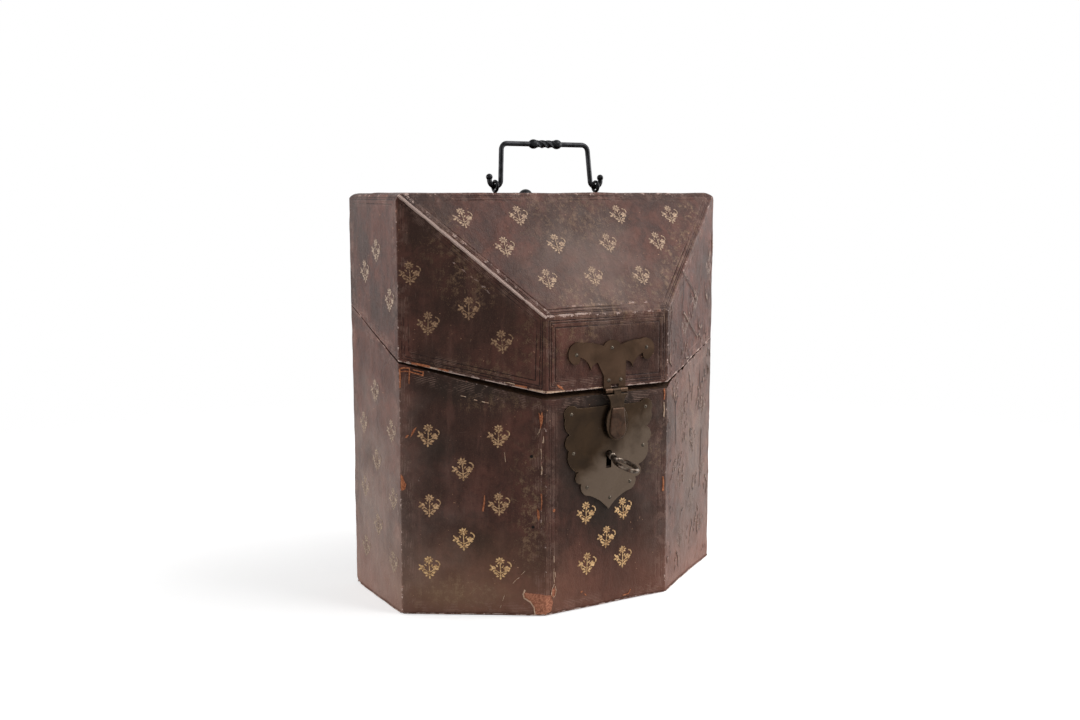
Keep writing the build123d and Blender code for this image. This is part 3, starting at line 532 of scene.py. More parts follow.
class Finish:
    """A procedural material whose nodes are added by short calls. Sizes are in millimetres."""

    def __init__(self, name, roughness=0.5, metallic=0.0, specular=0.5):
        self.material = bpy.data.materials.new(name)
        self.material.use_nodes = True
        self.tree = self.material.node_tree
        self.tree.nodes.clear()
        inputs = {"Roughness": roughness, "Metallic": metallic, "Specular IOR Level": specular}
        self.shader = self.node("BsdfPrincipled", inputs)
        self.node("OutputMaterial", {0: self.shader.outputs[0]})
        self.place = self.node("TexCoord", {}).outputs["Object"]

    def set(self, name, value):
        feed(self.tree, self.shader.inputs[name], value)

    def node(self, kind, inputs, **settings):
        return add_node(self.tree, kind, inputs, **settings)

    def stretched(self, x, y, z):
        """Object coordinates scaled along each axis, so that a pattern is drawn out."""
        inputs = {0: self.place, 1: (x, y, z)}
        return self.node("VectorMath", inputs, operation="MULTIPLY").outputs[0]

    def noise(self, size, detail, rough=0.55, place=None, warp=0.0):
        inputs = {"Vector": place or self.place, "Scale": 1 / (size * MM), "Detail": detail}
        inputs |= {"Roughness": rough, "Distortion": warp}
        return self.node("TexNoise", inputs).outputs["Fac"]

    def cells(self, size, feature="F1", place=None):
        inputs = {"Vector": place or self.place, "Scale": 1 / (size * MM)}
        return self.node("TexVoronoi", inputs, feature=feature).outputs["Distance"]

    def math(self, operation, a, b=0.0, c=0.0):
        return self.node("Math", {0: a, 1: b, 2: c}, operation=operation).outputs[0]

    def times(self, a, b, plus=0.0):
        """The product of two values, with a third added to it."""
        return self.math("MULTIPLY_ADD", a, b, plus)

    def band(self, value, low, high):
        """0 below low and 1 above high, smooth between. With low above high it falls instead."""
        inputs = {"Value": value, "From Min": low, "From Max": high}
        return self.node("MapRange", inputs, interpolation_type="SMOOTHSTEP").outputs["Result"]

    def mix(self, share, a, b):
        """Colour a turning into colour b as share goes from 0 to 1. A tuple is a colour as on screen."""
        a, b = (linear(c) if isinstance(c, tuple) else c for c in (a, b))
        return self.node("Mix", {0: share, 6: a, 7: b}, data_type="RGBA").outputs[2]

    def layered(self, colour, *layers):
        """A colour with layers over it, each with a share from 0 to 1, an amount and a tint."""
        for share, amount, tint in layers:
            colour = self.mix(self.times(share, amount), colour, tint)
        return colour

    def kept(self, name):
        return self.node("Attribute", {}, attribute_name=name).outputs["Fac"]

    def spot(self, centre, radius, tall, ragged, soft):
        """A ragged spot round a point, 1 inside and 0 outside. Its height is tall times its radius."""
        squeeze = Vector((1, 1, 1 / tall))
        inputs = {0: self.stretched(*squeeze), 1: tuple(Vector(centre) * squeeze)}
        apart = self.node("VectorMath", inputs, operation="DISTANCE")
        rough = self.times(self.noise(radius * 0.5, 3), ragged * 2, -ragged)
        reach = self.times(apart.outputs["Value"], 1 / (radius * MM), rough)
        return self.band(reach, 1.0 + soft, 1.0 - soft)

    def relief(self, height, depth):
        """Bump from a height of 0 to 1 and a depth in millimetres, added under what is there already."""
        socket = self.shader.inputs["Normal"]
        inputs = {"Height": height, "Distance": depth * MM, "Strength": 1.0}
        if socket.is_linked:
            inputs["Normal"] = socket.links[0].from_socket
        feed(self.tree, socket, self.node("Bump", inputs).outputs["Normal"])


DARK = (48, 30, 26)
BROWN = (82, 54, 47)
RED = (102, 66, 57)
SHADE = (62, 45, 39)
DUSTY = (146, 116, 92)
GREY = (134, 112, 102)
WORN = (226, 200, 188)
RAW = (166, 98, 70)
# Dark grime round the lock, and also painted shade in the flat bands just below the case's rim
SOOT_AND_SHADE = (40, 36, 31)
# A pale greyish veil standing in for the leather's reflection of the pale surroundings: painted sheen
PAINTED_SHEEN = (168, 148, 138)
STAIN_RAGGED, PAINTED_SHEEN_RAGGED = 0.6, 0.9


def leather(name, tinted_spots=(), scuffs=(), holes=()):
    """Old dark calf: mottled, dusty and scratched, worn pale along its edges, dark where hands have been.
    Its colour also carries painted light: lighter towards the bottom as painted floor bounce, and painted
    sheen, painted shade and near-black holes from the tables.
    """
    f = Finish(name, specular=0.1)
    broad, middle = f.noise(62, 3, 0.5), f.noise(17, 5, 0.62, warp=0.7)
    small, fine = f.noise(4.2, 4, 0.6), f.noise(0.8, 3, 0.6)
    streak = f.noise(3.2, 4, 0.6, place=f.stretched(1, 1, 0.14))
    drawn = f.noise(11, 4, 0.6, place=f.stretched(1, 1, 0.22))
    height = f.node("SeparateXYZ", {0: f.place}).outputs["Z"]
    # Lighter towards the bottom, reddish tan: painted light bounced up from the floor, partly wear
    low = f.times(f.noise(24, 5, 0.65), 70 * MM, height)
    layers = [
        (f.band(broad, 0.46, 0.62), 0.75, SHADE),
        (f.band(small, 0.46, 0.7), 0.4, DARK),
        (f.band(streak, 0.56, 0.78), 0.14, GREY),
        (f.band(drawn, 0.46, 0.66), 0.4, DARK),
        (f.band(drawn, 0.46, 0.32), 0.3, (122, 84, 74)),
        (f.band(fine, 0.5, 0.75), 0.18, DUSTY),
        # Painted floor bounce light, partly wear: lighter towards the bottom
        (f.band(low, 108 * MM, 34 * MM), 0.5, (146, 100, 84)),
    ]
    grain = f.times(streak, 0.35, f.times(fine, 0.5))
    grain = f.band(f.times(small, 0.8, grain), 0.8, 1.0)
    for centre, radius, tall, amount in scuffs:
        layers.append((f.times(f.spot(centre, radius, tall, 1.2, 0.8), grain), amount, DUSTY))
    # Stains and grime, and also painted sheen and painted shade, laid on as the tables give them
    for centre, radius, tall, amount, tint in tinted_spots:
        ragged = PAINTED_SHEEN_RAGGED if tint == PAINTED_SHEEN else STAIN_RAGGED
        layers.append((f.spot(centre, radius, tall, ragged, 1.0), amount, tint))
    scratch = f.noise(1.3, 3, 0.5, place=f.stretched(1, 1, 0.09))
    across = f.noise(1.3, 3, 0.5, place=f.stretched(0.1, 0.1, 1))
    marks = f.math("MAXIMUM", f.band(scratch, 0.7, 0.75), f.band(across, 0.72, 0.77))
    marks = f.times(marks, f.band(f.noise(20, 3, 0.5), 0.48, 0.6))
    edge, crack, kept = f.kept("edge_mm"), f.kept("crack"), f.kept("rub")
    combed = f.math("SINE", f.times(edge, 5.2, f.times(f.noise(12, 2), 7.0)))
    combed = f.times(f.band(combed, 0.2, 0.95), f.band(edge, 13.0, 7.0))
    combed = f.times(combed, f.band(f.noise(9, 5, 0.65), 0.47, 0.6))
    rub = f.times(f.noise(5.5, 4, 0.6), 2.2, kept)
    rub = f.times(f.noise(1.1, 4, 0.65), 1.2, rub)
    worn = f.band(rub, 2.24, 2.52)
    fibre = f.times(f.band(f.noise(9, 4, 0.6), 0.54, 0.64), f.band(kept, 0.72, 0.55))
    lines = f.math("SINE", f.times(edge, 6.4, f.times(f.noise(14, 3), 4.0)))
    lined = (f.band(lines, 0.1, 0.8), f.band(edge, 0.4, 0.9), (128, 98, 88))
    speck = f.times(f.band(f.noise(1.8, 2, 0.5), 0.72, 0.74), f.band(middle, 0.5, 0.56))
    layers += [
        (f.band(f.kept("groove"), 0.05, 0.8), 0.85, (30, 19, 16)),
        (marks, 0.36, GREY),
        (combed, 0.55, (172, 140, 126)),
        (f.band(crack, 0.35, 0.9), 0.5, (190, 168, 152)),
        (f.band(crack, 0.12, 0.3), f.band(crack, 0.6, 0.4), (58, 42, 37)),
        (worn, 0.8, f.layered(WORN, (fibre, 0.85, RAW), lined)),
        (speck, 0.7, (196, 150, 118)),
    ]
    # Near-black spots at the holes: painted shade in holes that the skin does not have
    layers += [(f.spot(centre, radius, 1, 0.1, 0.3), 1.0, (8, 6, 5)) for centre, radius in holes]
    f.set("Base Color", f.layered(f.mix(f.band(middle, 0.38, 0.64), BROWN, RED), *layers))
    f.set("Roughness", f.times(worn, 0.2, f.times(middle, 0.3, 0.3)))
    grain = f.times(f.cells(0.8), 0.6, f.times(fine, 0.7))
    crackle = f.band(f.cells(3.4, "DISTANCE_TO_EDGE", place=f.stretched(1, 1, 0.55)), 0.0, 0.1)
    f.relief(grain, 0.07)
    f.relief(crackle, 0.05)
    f.relief(middle, 0.7)
    f.relief(small, 0.25)
    return f.material


# Spots with a tint are a centre, a radius, a height for that radius, an amount and a tint: stains and grime,
# and also painted sheen and painted shade where marked. Scuffs have no tint, and holes have only a centre
# and a radius.
case_tinted_spots = [
    (FRONT.at(57, 122), 50, 1.1, 0.78, SOOT_AND_SHADE),
    # Painted shade from the lid's overhang: the flat dark bands just below the rim, on the front and on the
    # left cant
    (FRONT.at(57, 162), 38, 0.5, 0.85, SOOT_AND_SHADE),
    (CANT.at(62, 178), 40, 0.25, 0.75, SOOT_AND_SHADE),
    (FRONT.at(52, 78), 17, 1.3, 0.7, SOOT_AND_SHADE),
    (CANT.at(30, 128), 12, 1, 0.5, SOOT_AND_SHADE),
    (CANT.at(68, 62), 14, 1, 0.35, SOOT_AND_SHADE),
    (FRONT.at(64, 22), 30, 0.8, 0.32, SHADE),
    (CANT.at(48, 22, 20), 62, 0.5, 0.26, DUSTY),
    (CANT.at(38, 17), 28, 0.32, 0.42, DUSTY),
    # Painted sheen on the left side and the right cant, in the next two spots
    (faces["left"].at(42, 66, 26), 60, 1.3, 0.45, PAINTED_SHEEN),
    (faces["right_cant"].at(66, 95, 26), 56, 1.6, 0.34, PAINTED_SHEEN),
]
case_scuffs = [
    (CANT.at(100, 98), 10, 3.2, 0.95),
    (CANT.at(98, 58), 8, 2.2, 0.8),
    (CANT.at(74, 167), 26, 0.3, 0.8),
    (CANT.at(36, 19), 26, 0.35, 1.0),
    (CANT.at(54, 18), 20, 0.4, 1.0),
    (FRONT.at(98, 118), 10, 1.6, 0.8),
    (faces["right_cant"].at(60, 130), 30, 1.5, 0.4),
    (faces["left"].at(46, 70), 40, 1.7, 0.3),
]
lid_tinted_spots = [
    # Painted sheen on the slope
    (SLOPE.at(56, 40), 46, 0.7, 0.25, PAINTED_SHEEN),
    (CANT.at(20, 262), 30, 1, 0.35, SOOT_AND_SHADE),
]
lid_scuffs = [
    (CANT.at(28, 284), 12, 0.7, 0.6),
    (CANT.at(48, 264), 13, 0.8, 0.6),
    (CANT.at(66, 250), 12, 0.7, 0.5),
    (CANT.at(60, 192), 36, 0.2, 0.6),
    (CANT.at(100, 210), 10, 1.6, 0.5),
    (SLOPE.at(50, 88), 34, 0.8, 0.5),
    (SLOPE.at(56, 10), 52, 0.3, 0.75),
    (SLOPE.at(-58, 62), 14, 2.5, 0.5),
    (SLOPE.at(172, 88), 9, 1.6, 0.9),
    (SLOPE.at(154, 66), 9, 1.5, 0.9),
    (SLOPE.at(139, 48), 9, 1.3, 0.9),
    (SLOPE.at(126, 30), 9, 1.3, 0.8),
    (FRONT.at(24, 212), 22, 0.7, 0.5),
    (CANT.at(46, 258), 20, 0.6, 0.35),
]
# Holes, painted near-black as painted shade
case_holes = [(CANT.at(100.5, 126), 1.3), (CANT.at(101.6, 70.7), 1.2)]
case_skin.data.materials.append(leather("case_hide", case_tinted_spots, case_scuffs, case_holes))
lid_skin.data.materials.append(leather("lid_hide", lid_tinted_spots, lid_scuffs))


def wood(name, light, dark, along):
    """Old board: long grain along one axis, with pores and grime."""
    f = Finish(name, roughness=0.7, specular=0.2)
    draw = [1.0, 1.0, 1.0]
    draw["xyz".index(along)] = 0.06
    grain = f.noise(3.2, 6, 0.62, place=f.stretched(*draw), warp=0.5)
    grime = f.band(f.noise(22, 5, 0.6), 0.5, 0.75)
    pores = f.band(f.noise(0.7, 3, 0.5, place=f.stretched(*draw)), 0.62, 0.7)
    colour = f.mix(f.band(grain, 0.3, 0.7), dark, light)
    f.set("Base Color", f.layered(colour, (grime, 0.5, (58, 40, 28)), (pores, 0.6, (48, 32, 22))))
    f.set("Roughness", f.times(grain, 0.25, 0.55))
    f.relief(grain, 0.25)
    return f.material


def metal(name, low, high, shine, size, rust=0.0):
    """Hand-worked metal with a mottled patina, soft hammer marks and fine scratches."""
    f = Finish(name, metallic=0.85, specular=0.4)
    broad, fine = f.noise(size, 5, 0.62, warp=0.3), f.noise(size * 0.18, 5, 0.65)
    layers = [(f.band(fine, 0.55, 0.75), 0.5, low)]
    if rust:
        layers.append((f.band(f.noise(size * 0.6, 6, 0.7), 0.5, 0.66), rust, (92, 52, 34)))
    f.set("Base Color", f.layered(f.mix(f.band(broad, 0.34, 0.66), low, high), *layers))
    scratch = f.noise(1.1, 3, 0.6, place=f.stretched(1, 1, 0.12))
    rough = f.times(broad, 0.22, shine - 0.08)
    f.set("Roughness", f.times(scratch, 0.08, rough))
    f.relief(broad, 0.35)
    f.relief(fine, 0.05)
    return f.material


def cloth(name, colour, deep):
    """Plain woven lining, a little faded."""
    f = Finish(name, roughness=0.9, specular=0.2)
    shade = f.mix(f.band(f.noise(18, 5, 0.6), 0.35, 0.7), deep, colour)
    thread = f.noise(0.5, 2, 0.5, place=f.stretched(1, 0.25, 1))
    other = f.noise(0.5, 2, 0.5, place=f.stretched(0.25, 1, 1))
    weave = f.math("MAXIMUM", thread, other)
    f.set("Base Color", f.layered(shade, (f.band(weave, 0.4, 0.7), 0.4, deep)))
    f.set("Sheen Weight", 0.3)
    f.set("Sheen Roughness", 0.5)
    f.relief(weave, 0.15)
    return f.material


WALNUT, WALNUT_DARK = (84, 60, 42), (48, 33, 24)
upright_wood = wood("board_upright", WALNUT, WALNUT_DARK, "z")
cross_wood = wood("board_cross", WALNUT, WALNUT_DARK, "x")
pale_wood = wood("partition_wood", (150, 116, 82), (104, 76, 52), "x")
patina = metal("patina_iron", (48, 36, 26), (74, 58, 44), 0.4, size=14.0)
brown_iron = metal("brown_iron", (50, 36, 28), (72, 54, 42), 0.34, size=7.0, rust=0.2)
black_iron = metal("black_iron", (12, 12, 13), (36, 36, 38), 0.26, size=5.0)
steel = metal("bright_steel", (44, 35, 29), (122, 110, 98), 0.26, size=3.0, rust=0.5)
nail_steel = metal("nail_steel", (44, 37, 31), (92, 82, 70), 0.16, size=2.0)
# Near-black wood for the inner lip and the lid stops: painted shade, so that the gap under the lid reads
# dark
shade_dark_lip_wood = wood("shade_dark_lip_wood", (42, 29, 22), (24, 17, 13), "x")
lining = cloth("lining_cloth", (118, 52, 46), (72, 30, 28))

FINISH_OF = {"base_cover": leather("base_hide"), "floor_lining": lining, "hasp_boss": brown_iron}
for finish, names in (
    (shade_dark_lip_wood, ("inner_lip", "lid_stops")),
    (cross_wood, ("base_board", "top_board", "slope_board")),
    (pale_wood, ("long_partition", "cross_partitions")),
    (steel, ("key", "bolt", "bolt_spring")),
    (nail_steel, ("hinge_pins", "hasp_pin")),
    (black_iron, ("handle", "handle_eyes", "rest_stud")),
):
    FINISH_OF |= dict.fromkeys(names, finish)
for name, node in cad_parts.items():
    slots = node.data.materials
    slots.clear()
    if name in FINISH_OF:
        slots.append(FINISH_OF[name])
    elif name.endswith("board"):
        slots.append(upright_wood)
    elif name.endswith("nails"):
        slots.append(nail_steel)
    else:
        slots.append(patina)


# Gilt stamps: one flower sprig, made of small leaves of gold
def blob(middle, half_long, half_wide, angle, point=0.0, steps=12):
    """An oval leaf outline. A point above 0 sharpens both ends."""
    c, s = math.cos(math.radians(angle)), math.sin(math.radians(angle))
    outline = []
    for i in range(steps):
        t = 2 * math.pi * i / steps
        x = half_long * math.cos(t)
        y = half_wide * math.sin(t) * (1 - point * math.cos(t) ** 2)
        outline.append((middle[0] + c * x - s * y, middle[1] + s * x + c * y))
    return outline


def stroke(points, start_width, end_width):
    """A ribbon along a few points, from one width to another, as one four-sided outline a stretch."""
    rows = [Vector(p) for p in points]
    sides = []
    for i, p in enumerate(rows):
        way = (rows[min(i + 1, len(rows) - 1)] - rows[max(i - 1, 0)]).normalized()
        half = (start_width + (end_width - start_width) * i / (len(rows) - 1)) / 2
        side = Vector((-way.y, way.x)) * half
        sides.append((tuple(p + side), tuple(p - side)))
    return [[a[0], b[0], b[1], a[1]] for a, b in zip(sides, sides[1:])]


def arc(middle, radius, start, end, steps=7):
    angles = [math.radians(start + (end - start) * i / (steps - 1)) for i in range(steps)]
    return [(middle[0] + radius * math.cos(a), middle[1] + radius * math.sin(a)) for a in angles]


SPRIG_WIDE, SPRIG_TALL = 0.99, 0.85


def sprig():
    """Outlines of the stamp, in millimetres: a daisy over two blossoms, with leaves at its foot."""
    daisy, rose = (-0.2, 6.6), (5.1, -0.9)
    shapes = [blob(daisy, 0.75, 0.75, 0), blob(rose, 2.1, 2.1, 0)]
    petals = ((daisy, 8, 12, 2.35, (1.4, 0.76), 0.35), (rose, 5, 20, 2.1, (0.75, 1.0), 0.0))
    for (x, y), count, first, reach, size, point in petals:
        for angle in range(first, first + 360, 360 // count):
            a = math.radians(angle)
            petal = (x + reach * math.cos(a), y + reach * math.sin(a))
            shapes.append(blob(petal, *size, angle, point))
    shapes += stroke(arc((5.1, 2.3), 3.3, -28, 86), 0.8, 1.1)
    shapes += stroke([(-0.2, 3.6), (0.1, 0), (0.1, -4), (0, -9)], 0.6, 1.0)
    shapes += stroke([(0, -4.6), (-2.2, -3.4), (-4.0, -1.4)], 0.8, 0.6)
    shapes += stroke([(0, -4.6), (2.0, -3.8), (3.6, -2.6)], 0.8, 0.6)
    for middle, long, wide, angle in (
        ((-5.4, 0.5), 2.0, 1.35, 150),
        ((-7.2, -1.3), 1.6, 1.0, 200),
        ((-4.8, -2.4), 1.5, 0.95, 240),
        ((-7.3, 2.2), 1.2, 0.7, 120),
        ((-2.7, 2.0), 1.3, 0.6, 125),
        ((1.9, 1.3), 1.4, 0.6, 55),
        ((-3.1, -5.3), 2.4, 1.05, 150),
        ((3.1, -5.5), 2.4, 1.05, 30),
        ((-2.1, -7.7), 1.6, 0.8, 205),
        ((2.1, -7.7), 1.6, 0.8, -25),
        ((0, -9.6), 1.5, 0.8, 90),
    ):
        shapes.append(blob(middle, long, wide, angle, 0.45))
    return [[(SPRIG_WIDE * x, SPRIG_TALL * y) for x, y in shape] for shape in shapes]


SPRIG = sprig()


def press(name, skin, stamps, finishes, lift, thick, body, cuts=0):
    """Lay outlines on a skin. A stamp is a face, a place along and up it, a turn, outlines and a finish.

    Cuts divide a wide patch, so that it follows the skin between its corners.
    """
    surface = BVHTree.FromObject(skin, bpy.context.evaluated_depsgraph_get())
    work = bmesh.new()
    for face_name, u, v, turn, outlines, finish in stamps:
        face = faces[face_name]
        c, s = math.cos(math.radians(turn)), math.sin(math.radians(turn))
        for outline in outlines:
            ring = []
            for x, y in outline:
                out = face.at(u + c * x - s * y, v + s * x + c * y, 6.0)
                hit = surface.ray_cast(out, -face.normal, 12 * MM)[0]
                if hit is not None:
                    ring.append(work.verts.new(hit + face.normal * lift * MM))
            if len(ring) == len(outline):
                work.faces.new(ring).material_index = finish
    bmesh.ops.triangulate(work, faces=work.faces)
    if cuts:
        bmesh.ops.subdivide_edges(work, edges=work.edges[:], cuts=cuts, use_grid_fill=True)
        for v in work.verts:
            on_skin, out = surface.find_nearest(v.co)[:2]
            v.co = on_skin + out * lift * MM
    mesh = bpy.data.meshes.new(name)
    work.to_mesh(mesh)
    work.free()
    for material in finishes:
        mesh.materials.append(material)
    item = put(name, mesh)
    solid = item.modifiers.new("thickness", "SOLIDIFY")
    solid.thickness = thick * MM
    solid.offset = -1.0
    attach(item, body)


def old_gold(name, low, high, cover):
    """Leaf gold rubbed away in places to the hide below."""
    f = Finish(name, roughness=0.5, metallic=0.25, specular=0.3)
    bright = f.mix(f.band(f.noise(1.5, 5, 0.65), 0.38, 0.6), low, high)
    rubbed = f.band(f.noise(1.2, 6, 0.7), cover, cover + 0.09)
    f.set("Base Color", f.layered(bright, (rubbed, 0.75, BROWN)))
    f.relief(f.noise(0.8, 4, 0.6), 0.05)
    return f.material


golds = (
    old_gold("old_gold", (152, 112, 74), (236, 196, 142), 0.55),
    old_gold("slope_gold", (112, 90, 72), (162, 136, 110), 0.5),
    old_gold("faint_gold", (140, 118, 98), (170, 148, 124), 0.47),
    old_gold("ghost_gold", (122, 102, 88), (146, 126, 110), 0.4),
    old_gold("cant_gold", (136, 102, 72), (211, 172, 130), 0.52),
    old_gold("lid_gold", (112, 84, 62), (172, 138, 106), 0.49),
)


def stagger(face, columns, rows):
    """Places on a face in staggered rows, each a little off and turned, as stamps set by hand."""
    places = []
    for r, v in enumerate(rows):
        for c, u in enumerate(columns):
            if (r + c) % 2:
                continue
            jitter = [rng.uniform(-1.2, 1.2), rng.uniform(-1.2, 1.2), rng.uniform(-4, 4)]
            places.append((face, u + jitter[0], v + jitter[1], jitter[2]))
    return places


CANT_COLUMNS, CASE_ROWS = (21.5, 49, 76.5), (38, 61, 88, 114.5, 141.5)
case_places = stagger("left_cant", CANT_COLUMNS, CASE_ROWS)
case_places += stagger("left", (24, 48.5, 78), CASE_ROWS) + [("left", 48, 170, 2)]
case_places += stagger("front", (36.6, 54.6, 72.6), (35.5, 55.5, 76.5))
on_right = stagger("right", (15, 45, 69), CASE_ROWS)
case_places += [(wall, u, v, -turn) for wall, u, v, turn in on_right]
case_places += stagger("right_cant", (35, 62, 89), CASE_ROWS)
SLOPE_ROWS = ((89, (-43.6, 5.2, 99, 150.7)), (63, (-15.4, 30.7, 79, 127.9)), (33.2, (12.5, 54.8, 99.9)))
LID_SPOTS = {
    "left_cant": ((9.5, 265, 3), (53.6, 238.7, 0), (22.9, 227.3, -2), (78.3, 213.8, 4)),
    "left": ((54.6, 280.3, 0), (31.9, 263, 2), (78.8, 243.8, -2)),
    "right_cant": ((40.3, 216.5, 0), (66, 236, 3), (100, 262, -2)),
    "right": ((50, 279, 0), (28, 262, 2), (76, 246, -2)),
}
lid_places = []
for v, columns in SLOPE_ROWS:
    lid_places += [("slope", u, v + rng.uniform(-1, 1), rng.uniform(-4, 4)) for u in columns]
lid_places += [(wall, *spot) for wall, spots in LID_SPOTS.items() for spot in spots]
# Places in the row of golds, by face. On the left cant the low stamps have the first one.
GOLD_ON = {"front": 0, "slope": 1, "left": 2, "right": 3, "right_cant": 3}
CASE_CANT_GOLD, LID_CANT_GOLD = 4, 5
BRIGHT_BELOW = 75
GOLD_LIFT, GOLD_THICK = 0.07, 0.12


def gilt(places, high_cant):
    """A stamp at each place. On the left cant the gold is better kept low down than high up."""
    stamps = []
    for wall, u, v, turn in places:
        on_cant = high_cant if v > BRIGHT_BELOW else 0
        stamps.append((wall, u, v, turn, SPRIG, GOLD_ON.get(wall, on_cant)))
    return stamps


case_gilt, lid_gilt = gilt(case_places, CASE_CANT_GOLD), gilt(lid_places, LID_CANT_GOLD)
press("case_gilding", case_skin, case_gilt, golds, GOLD_LIFT, GOLD_THICK, "case")
press("lid_gilding", lid_skin, lid_gilt, golds, GOLD_LIFT, GOLD_THICK, "lid")


# Torn hide: raw patches, and curled ribbons along their edges. A row is an outline, or a ribbon's points
# with its width at both ends.
def torn_hide(name, low, high):
    f = Finish(name, roughness=0.75, specular=0.2)
    fibre = f.noise(1.6, 5, 0.65)
    stain = f.band(f.noise(5, 4, 0.6), 0.55, 0.7)
    f.set("Base Color", f.layered(f.mix(f.band(fibre, 0.35, 0.65), low, high), (stain, 0.5, BROWN)))
    f.relief(fibre, 0.3)
    return f.material


raw = torn_hide("raw_hide", (150, 86, 58), (204, 132, 92))
bare = torn_hide("bare_hide", (150, 94, 73), (202, 136, 106))
pale = torn_hide("pale_hide", (188, 148, 120), (232, 204, 178))
RAW_CASE = {
    "left_cant": [
        ([(0.6, 192.6), (4, 193.4), (8.4, 193.2)], 1.1, 0.9),
        ([(8.2, 193.4), (8.6, 190.4), (18.6, 187.6)], 0.9, 1.0),
        ([(18.4, 187.2), (18.8, 190.8)], 1.2, 0.8),
        ([(11, 192), (18.6, 190.2)], 0.6, 0.8),
        ([(8.4, 190.6), (8.0, 186), (7.8, 181)], 1.0, 0.5),
        ([(0.9, 192.5), (1.2, 187), (1.0, 178)], 1.2, 0.9),
        ([(1, 190.2), (4, 190.8), (7.6, 190.6)], 0.6, 0.8),
        [
            (106, 160), (107.3, 157.4), (108.4, 160.6), (109.3, 156.8),
            (108.9, 152.4), (107.2, 147), (107, 152), (106.4, 155.6),
        ],
        ([(107.9, 97), (108.3, 91), (107.7, 84)], 1.0, 0.5),
        [(8.2, 139.6), (10.4, 142.6), (13.2, 148), (11.2, 146.6), (9.4, 144)],
        [(4.2, 139.4), (5.6, 141.8), (7, 141.6), (5.8, 139.6)],
        ([(64.6, 95.4), (64.4, 90), (63.2, 83)], 0.8, 1.4),
        [(0.4, 111), (2, 109.6), (3, 106), (4.6, 103.4), (3.6, 99.4), (1.6, 98.4), (0.4, 99)],
        [(104.6, 85), (106.2, 83.6), (106.9, 79), (105.8, 76), (104.9, 79)],
    ],
    "front": [
        ([(110.4, 169), (110.9, 165), (110.5, 160)], 1.3, 0.8),
        ([(110.8, 97), (111.3, 92), (110.9, 85)], 0.8, 1.7),
        blob((7.5, 83), 1.3, 1.0, 60),
        blob((33, 14), 1.1, 0.6, 20),
        blob((36.5, 11), 1.3, 0.5, 130),
        ([(72, 4), (78, 4.6), (80, 8)], 0.9, 0.5),
    ],
}
PALE_CASE = {
    "left_cant": [
        ([(95.4, 21), (94, 17.6), (94.6, 14.4), (99.7, 11.1), (102.4, 6.8), (103.2, 1.4)], 1.3, 0.7),
        ([(109.7, 141.8), (109.5, 139), (109.2, 136.4)], 0.4, 0.9),
        ([(107.6, 132), (108.1, 128), (107.9, 124)], 0.5, 0.3),
        ([(108.2, 119), (108.5, 116), (108, 112)], 0.6, 0.9),
        ([(107.2, 147.6), (106.4, 145), (104.6, 142.6)], 0.5, 0.2),
        ([(79.8, 129), (80.4, 125), (80.8, 121.6)], 0.25, 0.35),
        ([(86, 26), (89, 29.4), (91, 30.6)], 0.25, 0.4),
        ([(92.6, 33), (95.4, 36)], 0.3, 0.3),
        ([(76, 6), (77, 8.4)], 0.4, 0.3),
        ([(78, 12), (79.4, 16)], 0.3, 0.3),
        ([(47, 172.4), (51, 171.6)], 0.3, 0.6),
        ([(57, 169.4), (59.4, 168.8)], 0.5, 0.7),
        ([(63, 168), (68.4, 166.8)], 0.7, 0.3),
    ],
    "front": [
        ([(7.4, 24.6), (5.4, 20.6), (5, 16.4), (6.9, 13.9), (8.6, 15.2), (9.2, 19), (8.3, 22.8)], 0.35, 0.4),
        ([(7.4, 26), (6.9, 31), (7.3, 37)], 0.5, 0.3),
        ([(7.4, 42), (7.2, 47)], 0.5, 0.3),
        ([(8.6, 30), (8.4, 34)], 0.3, 0.35),
        ([(110.2, 158), (110.8, 152), (110.4, 146)], 0.5, 0.8),
    ],
}
BARE_CASE = {
    "left_cant": [
        [(94, 19), (94.5, 14.6), (99.7, 11.3), (101, 18)],
        [(101, 18), (99.7, 11.3), (102.5, 6.8), (107, 17.6)],
        [(107, 17.6), (102.5, 6.8), (103.2, 1.6), (112.4, 1.2), (112.4, 16.4)],
    ],
    "front": [
        [(-0.8, 1.4), (5, 3), (6.6, 10.2), (5.4, 16), (-0.8, 16.6)],
        [(5.6, 20.4), (5.3, 16.6), (6.9, 14.3), (8.5, 15.5), (9.1, 19), (8, 22)],
    ],
}
RAW_LID = {
    "left_cant": [
        ([(10, 197), (16, 195.9), (24, 194.2)], 1.5, 1.8),
        ([(88, 180.7), (93, 179.8), (97, 178.9)], 1.0, 1.6),
        ([(30, 193), (34, 192), (38, 191.2)], 0.8, 1.3),
    ],
    "front": [
        [(9.6, 180.4), (12, 177.6), (16, 175.6), (14.6, 178.2), (11.4, 180)],
        blob((70, 178.6), 1.4, 1.1, 30),
    ],
}
PALE_LID = {
    "left_cant": [
        ([(24, 194), (30, 192.8), (38, 191)], 0.8, 0.5),
        ([(99, 177.9), (105, 176.6), (111, 175.6)], 0.9, 1.3),
        ([(80, 183), (84, 182.4), (88, 181.3)], 0.5, 0.8),
    ],
    "front": [
        ([(0.4, 175.3), (8, 175.1), (17, 175)], 1.5, 0.8),
        ([(40, 175.2), (52, 175), (60, 175.2)], 0.4, 0.7),
    ],
}


def shreds(*kinds):
    """Stamps for dictionaries of rows by wall, one finish for each dictionary."""
    stamps = []
    for finish, kind in enumerate(kinds):
        for wall, rows in kind.items():
            outlines = []
            for row in rows:
                outlines += stroke(*row) if isinstance(row, tuple) else [row]
            stamps.append((wall, 0, 0, 0, outlines, finish))
    return stamps


press("case_tears", case_skin, shreds(RAW_CASE, PALE_CASE), (raw, pale), 0.22, 0.32, "case")
press("case_bare_patch", case_skin, shreds(BARE_CASE), (bare,), 0.12, 0.22, "case", cuts=9)
press("lid_tears", lid_skin, shreds(RAW_LID, PALE_LID), (raw, pale), 0.22, 0.32, "lid")


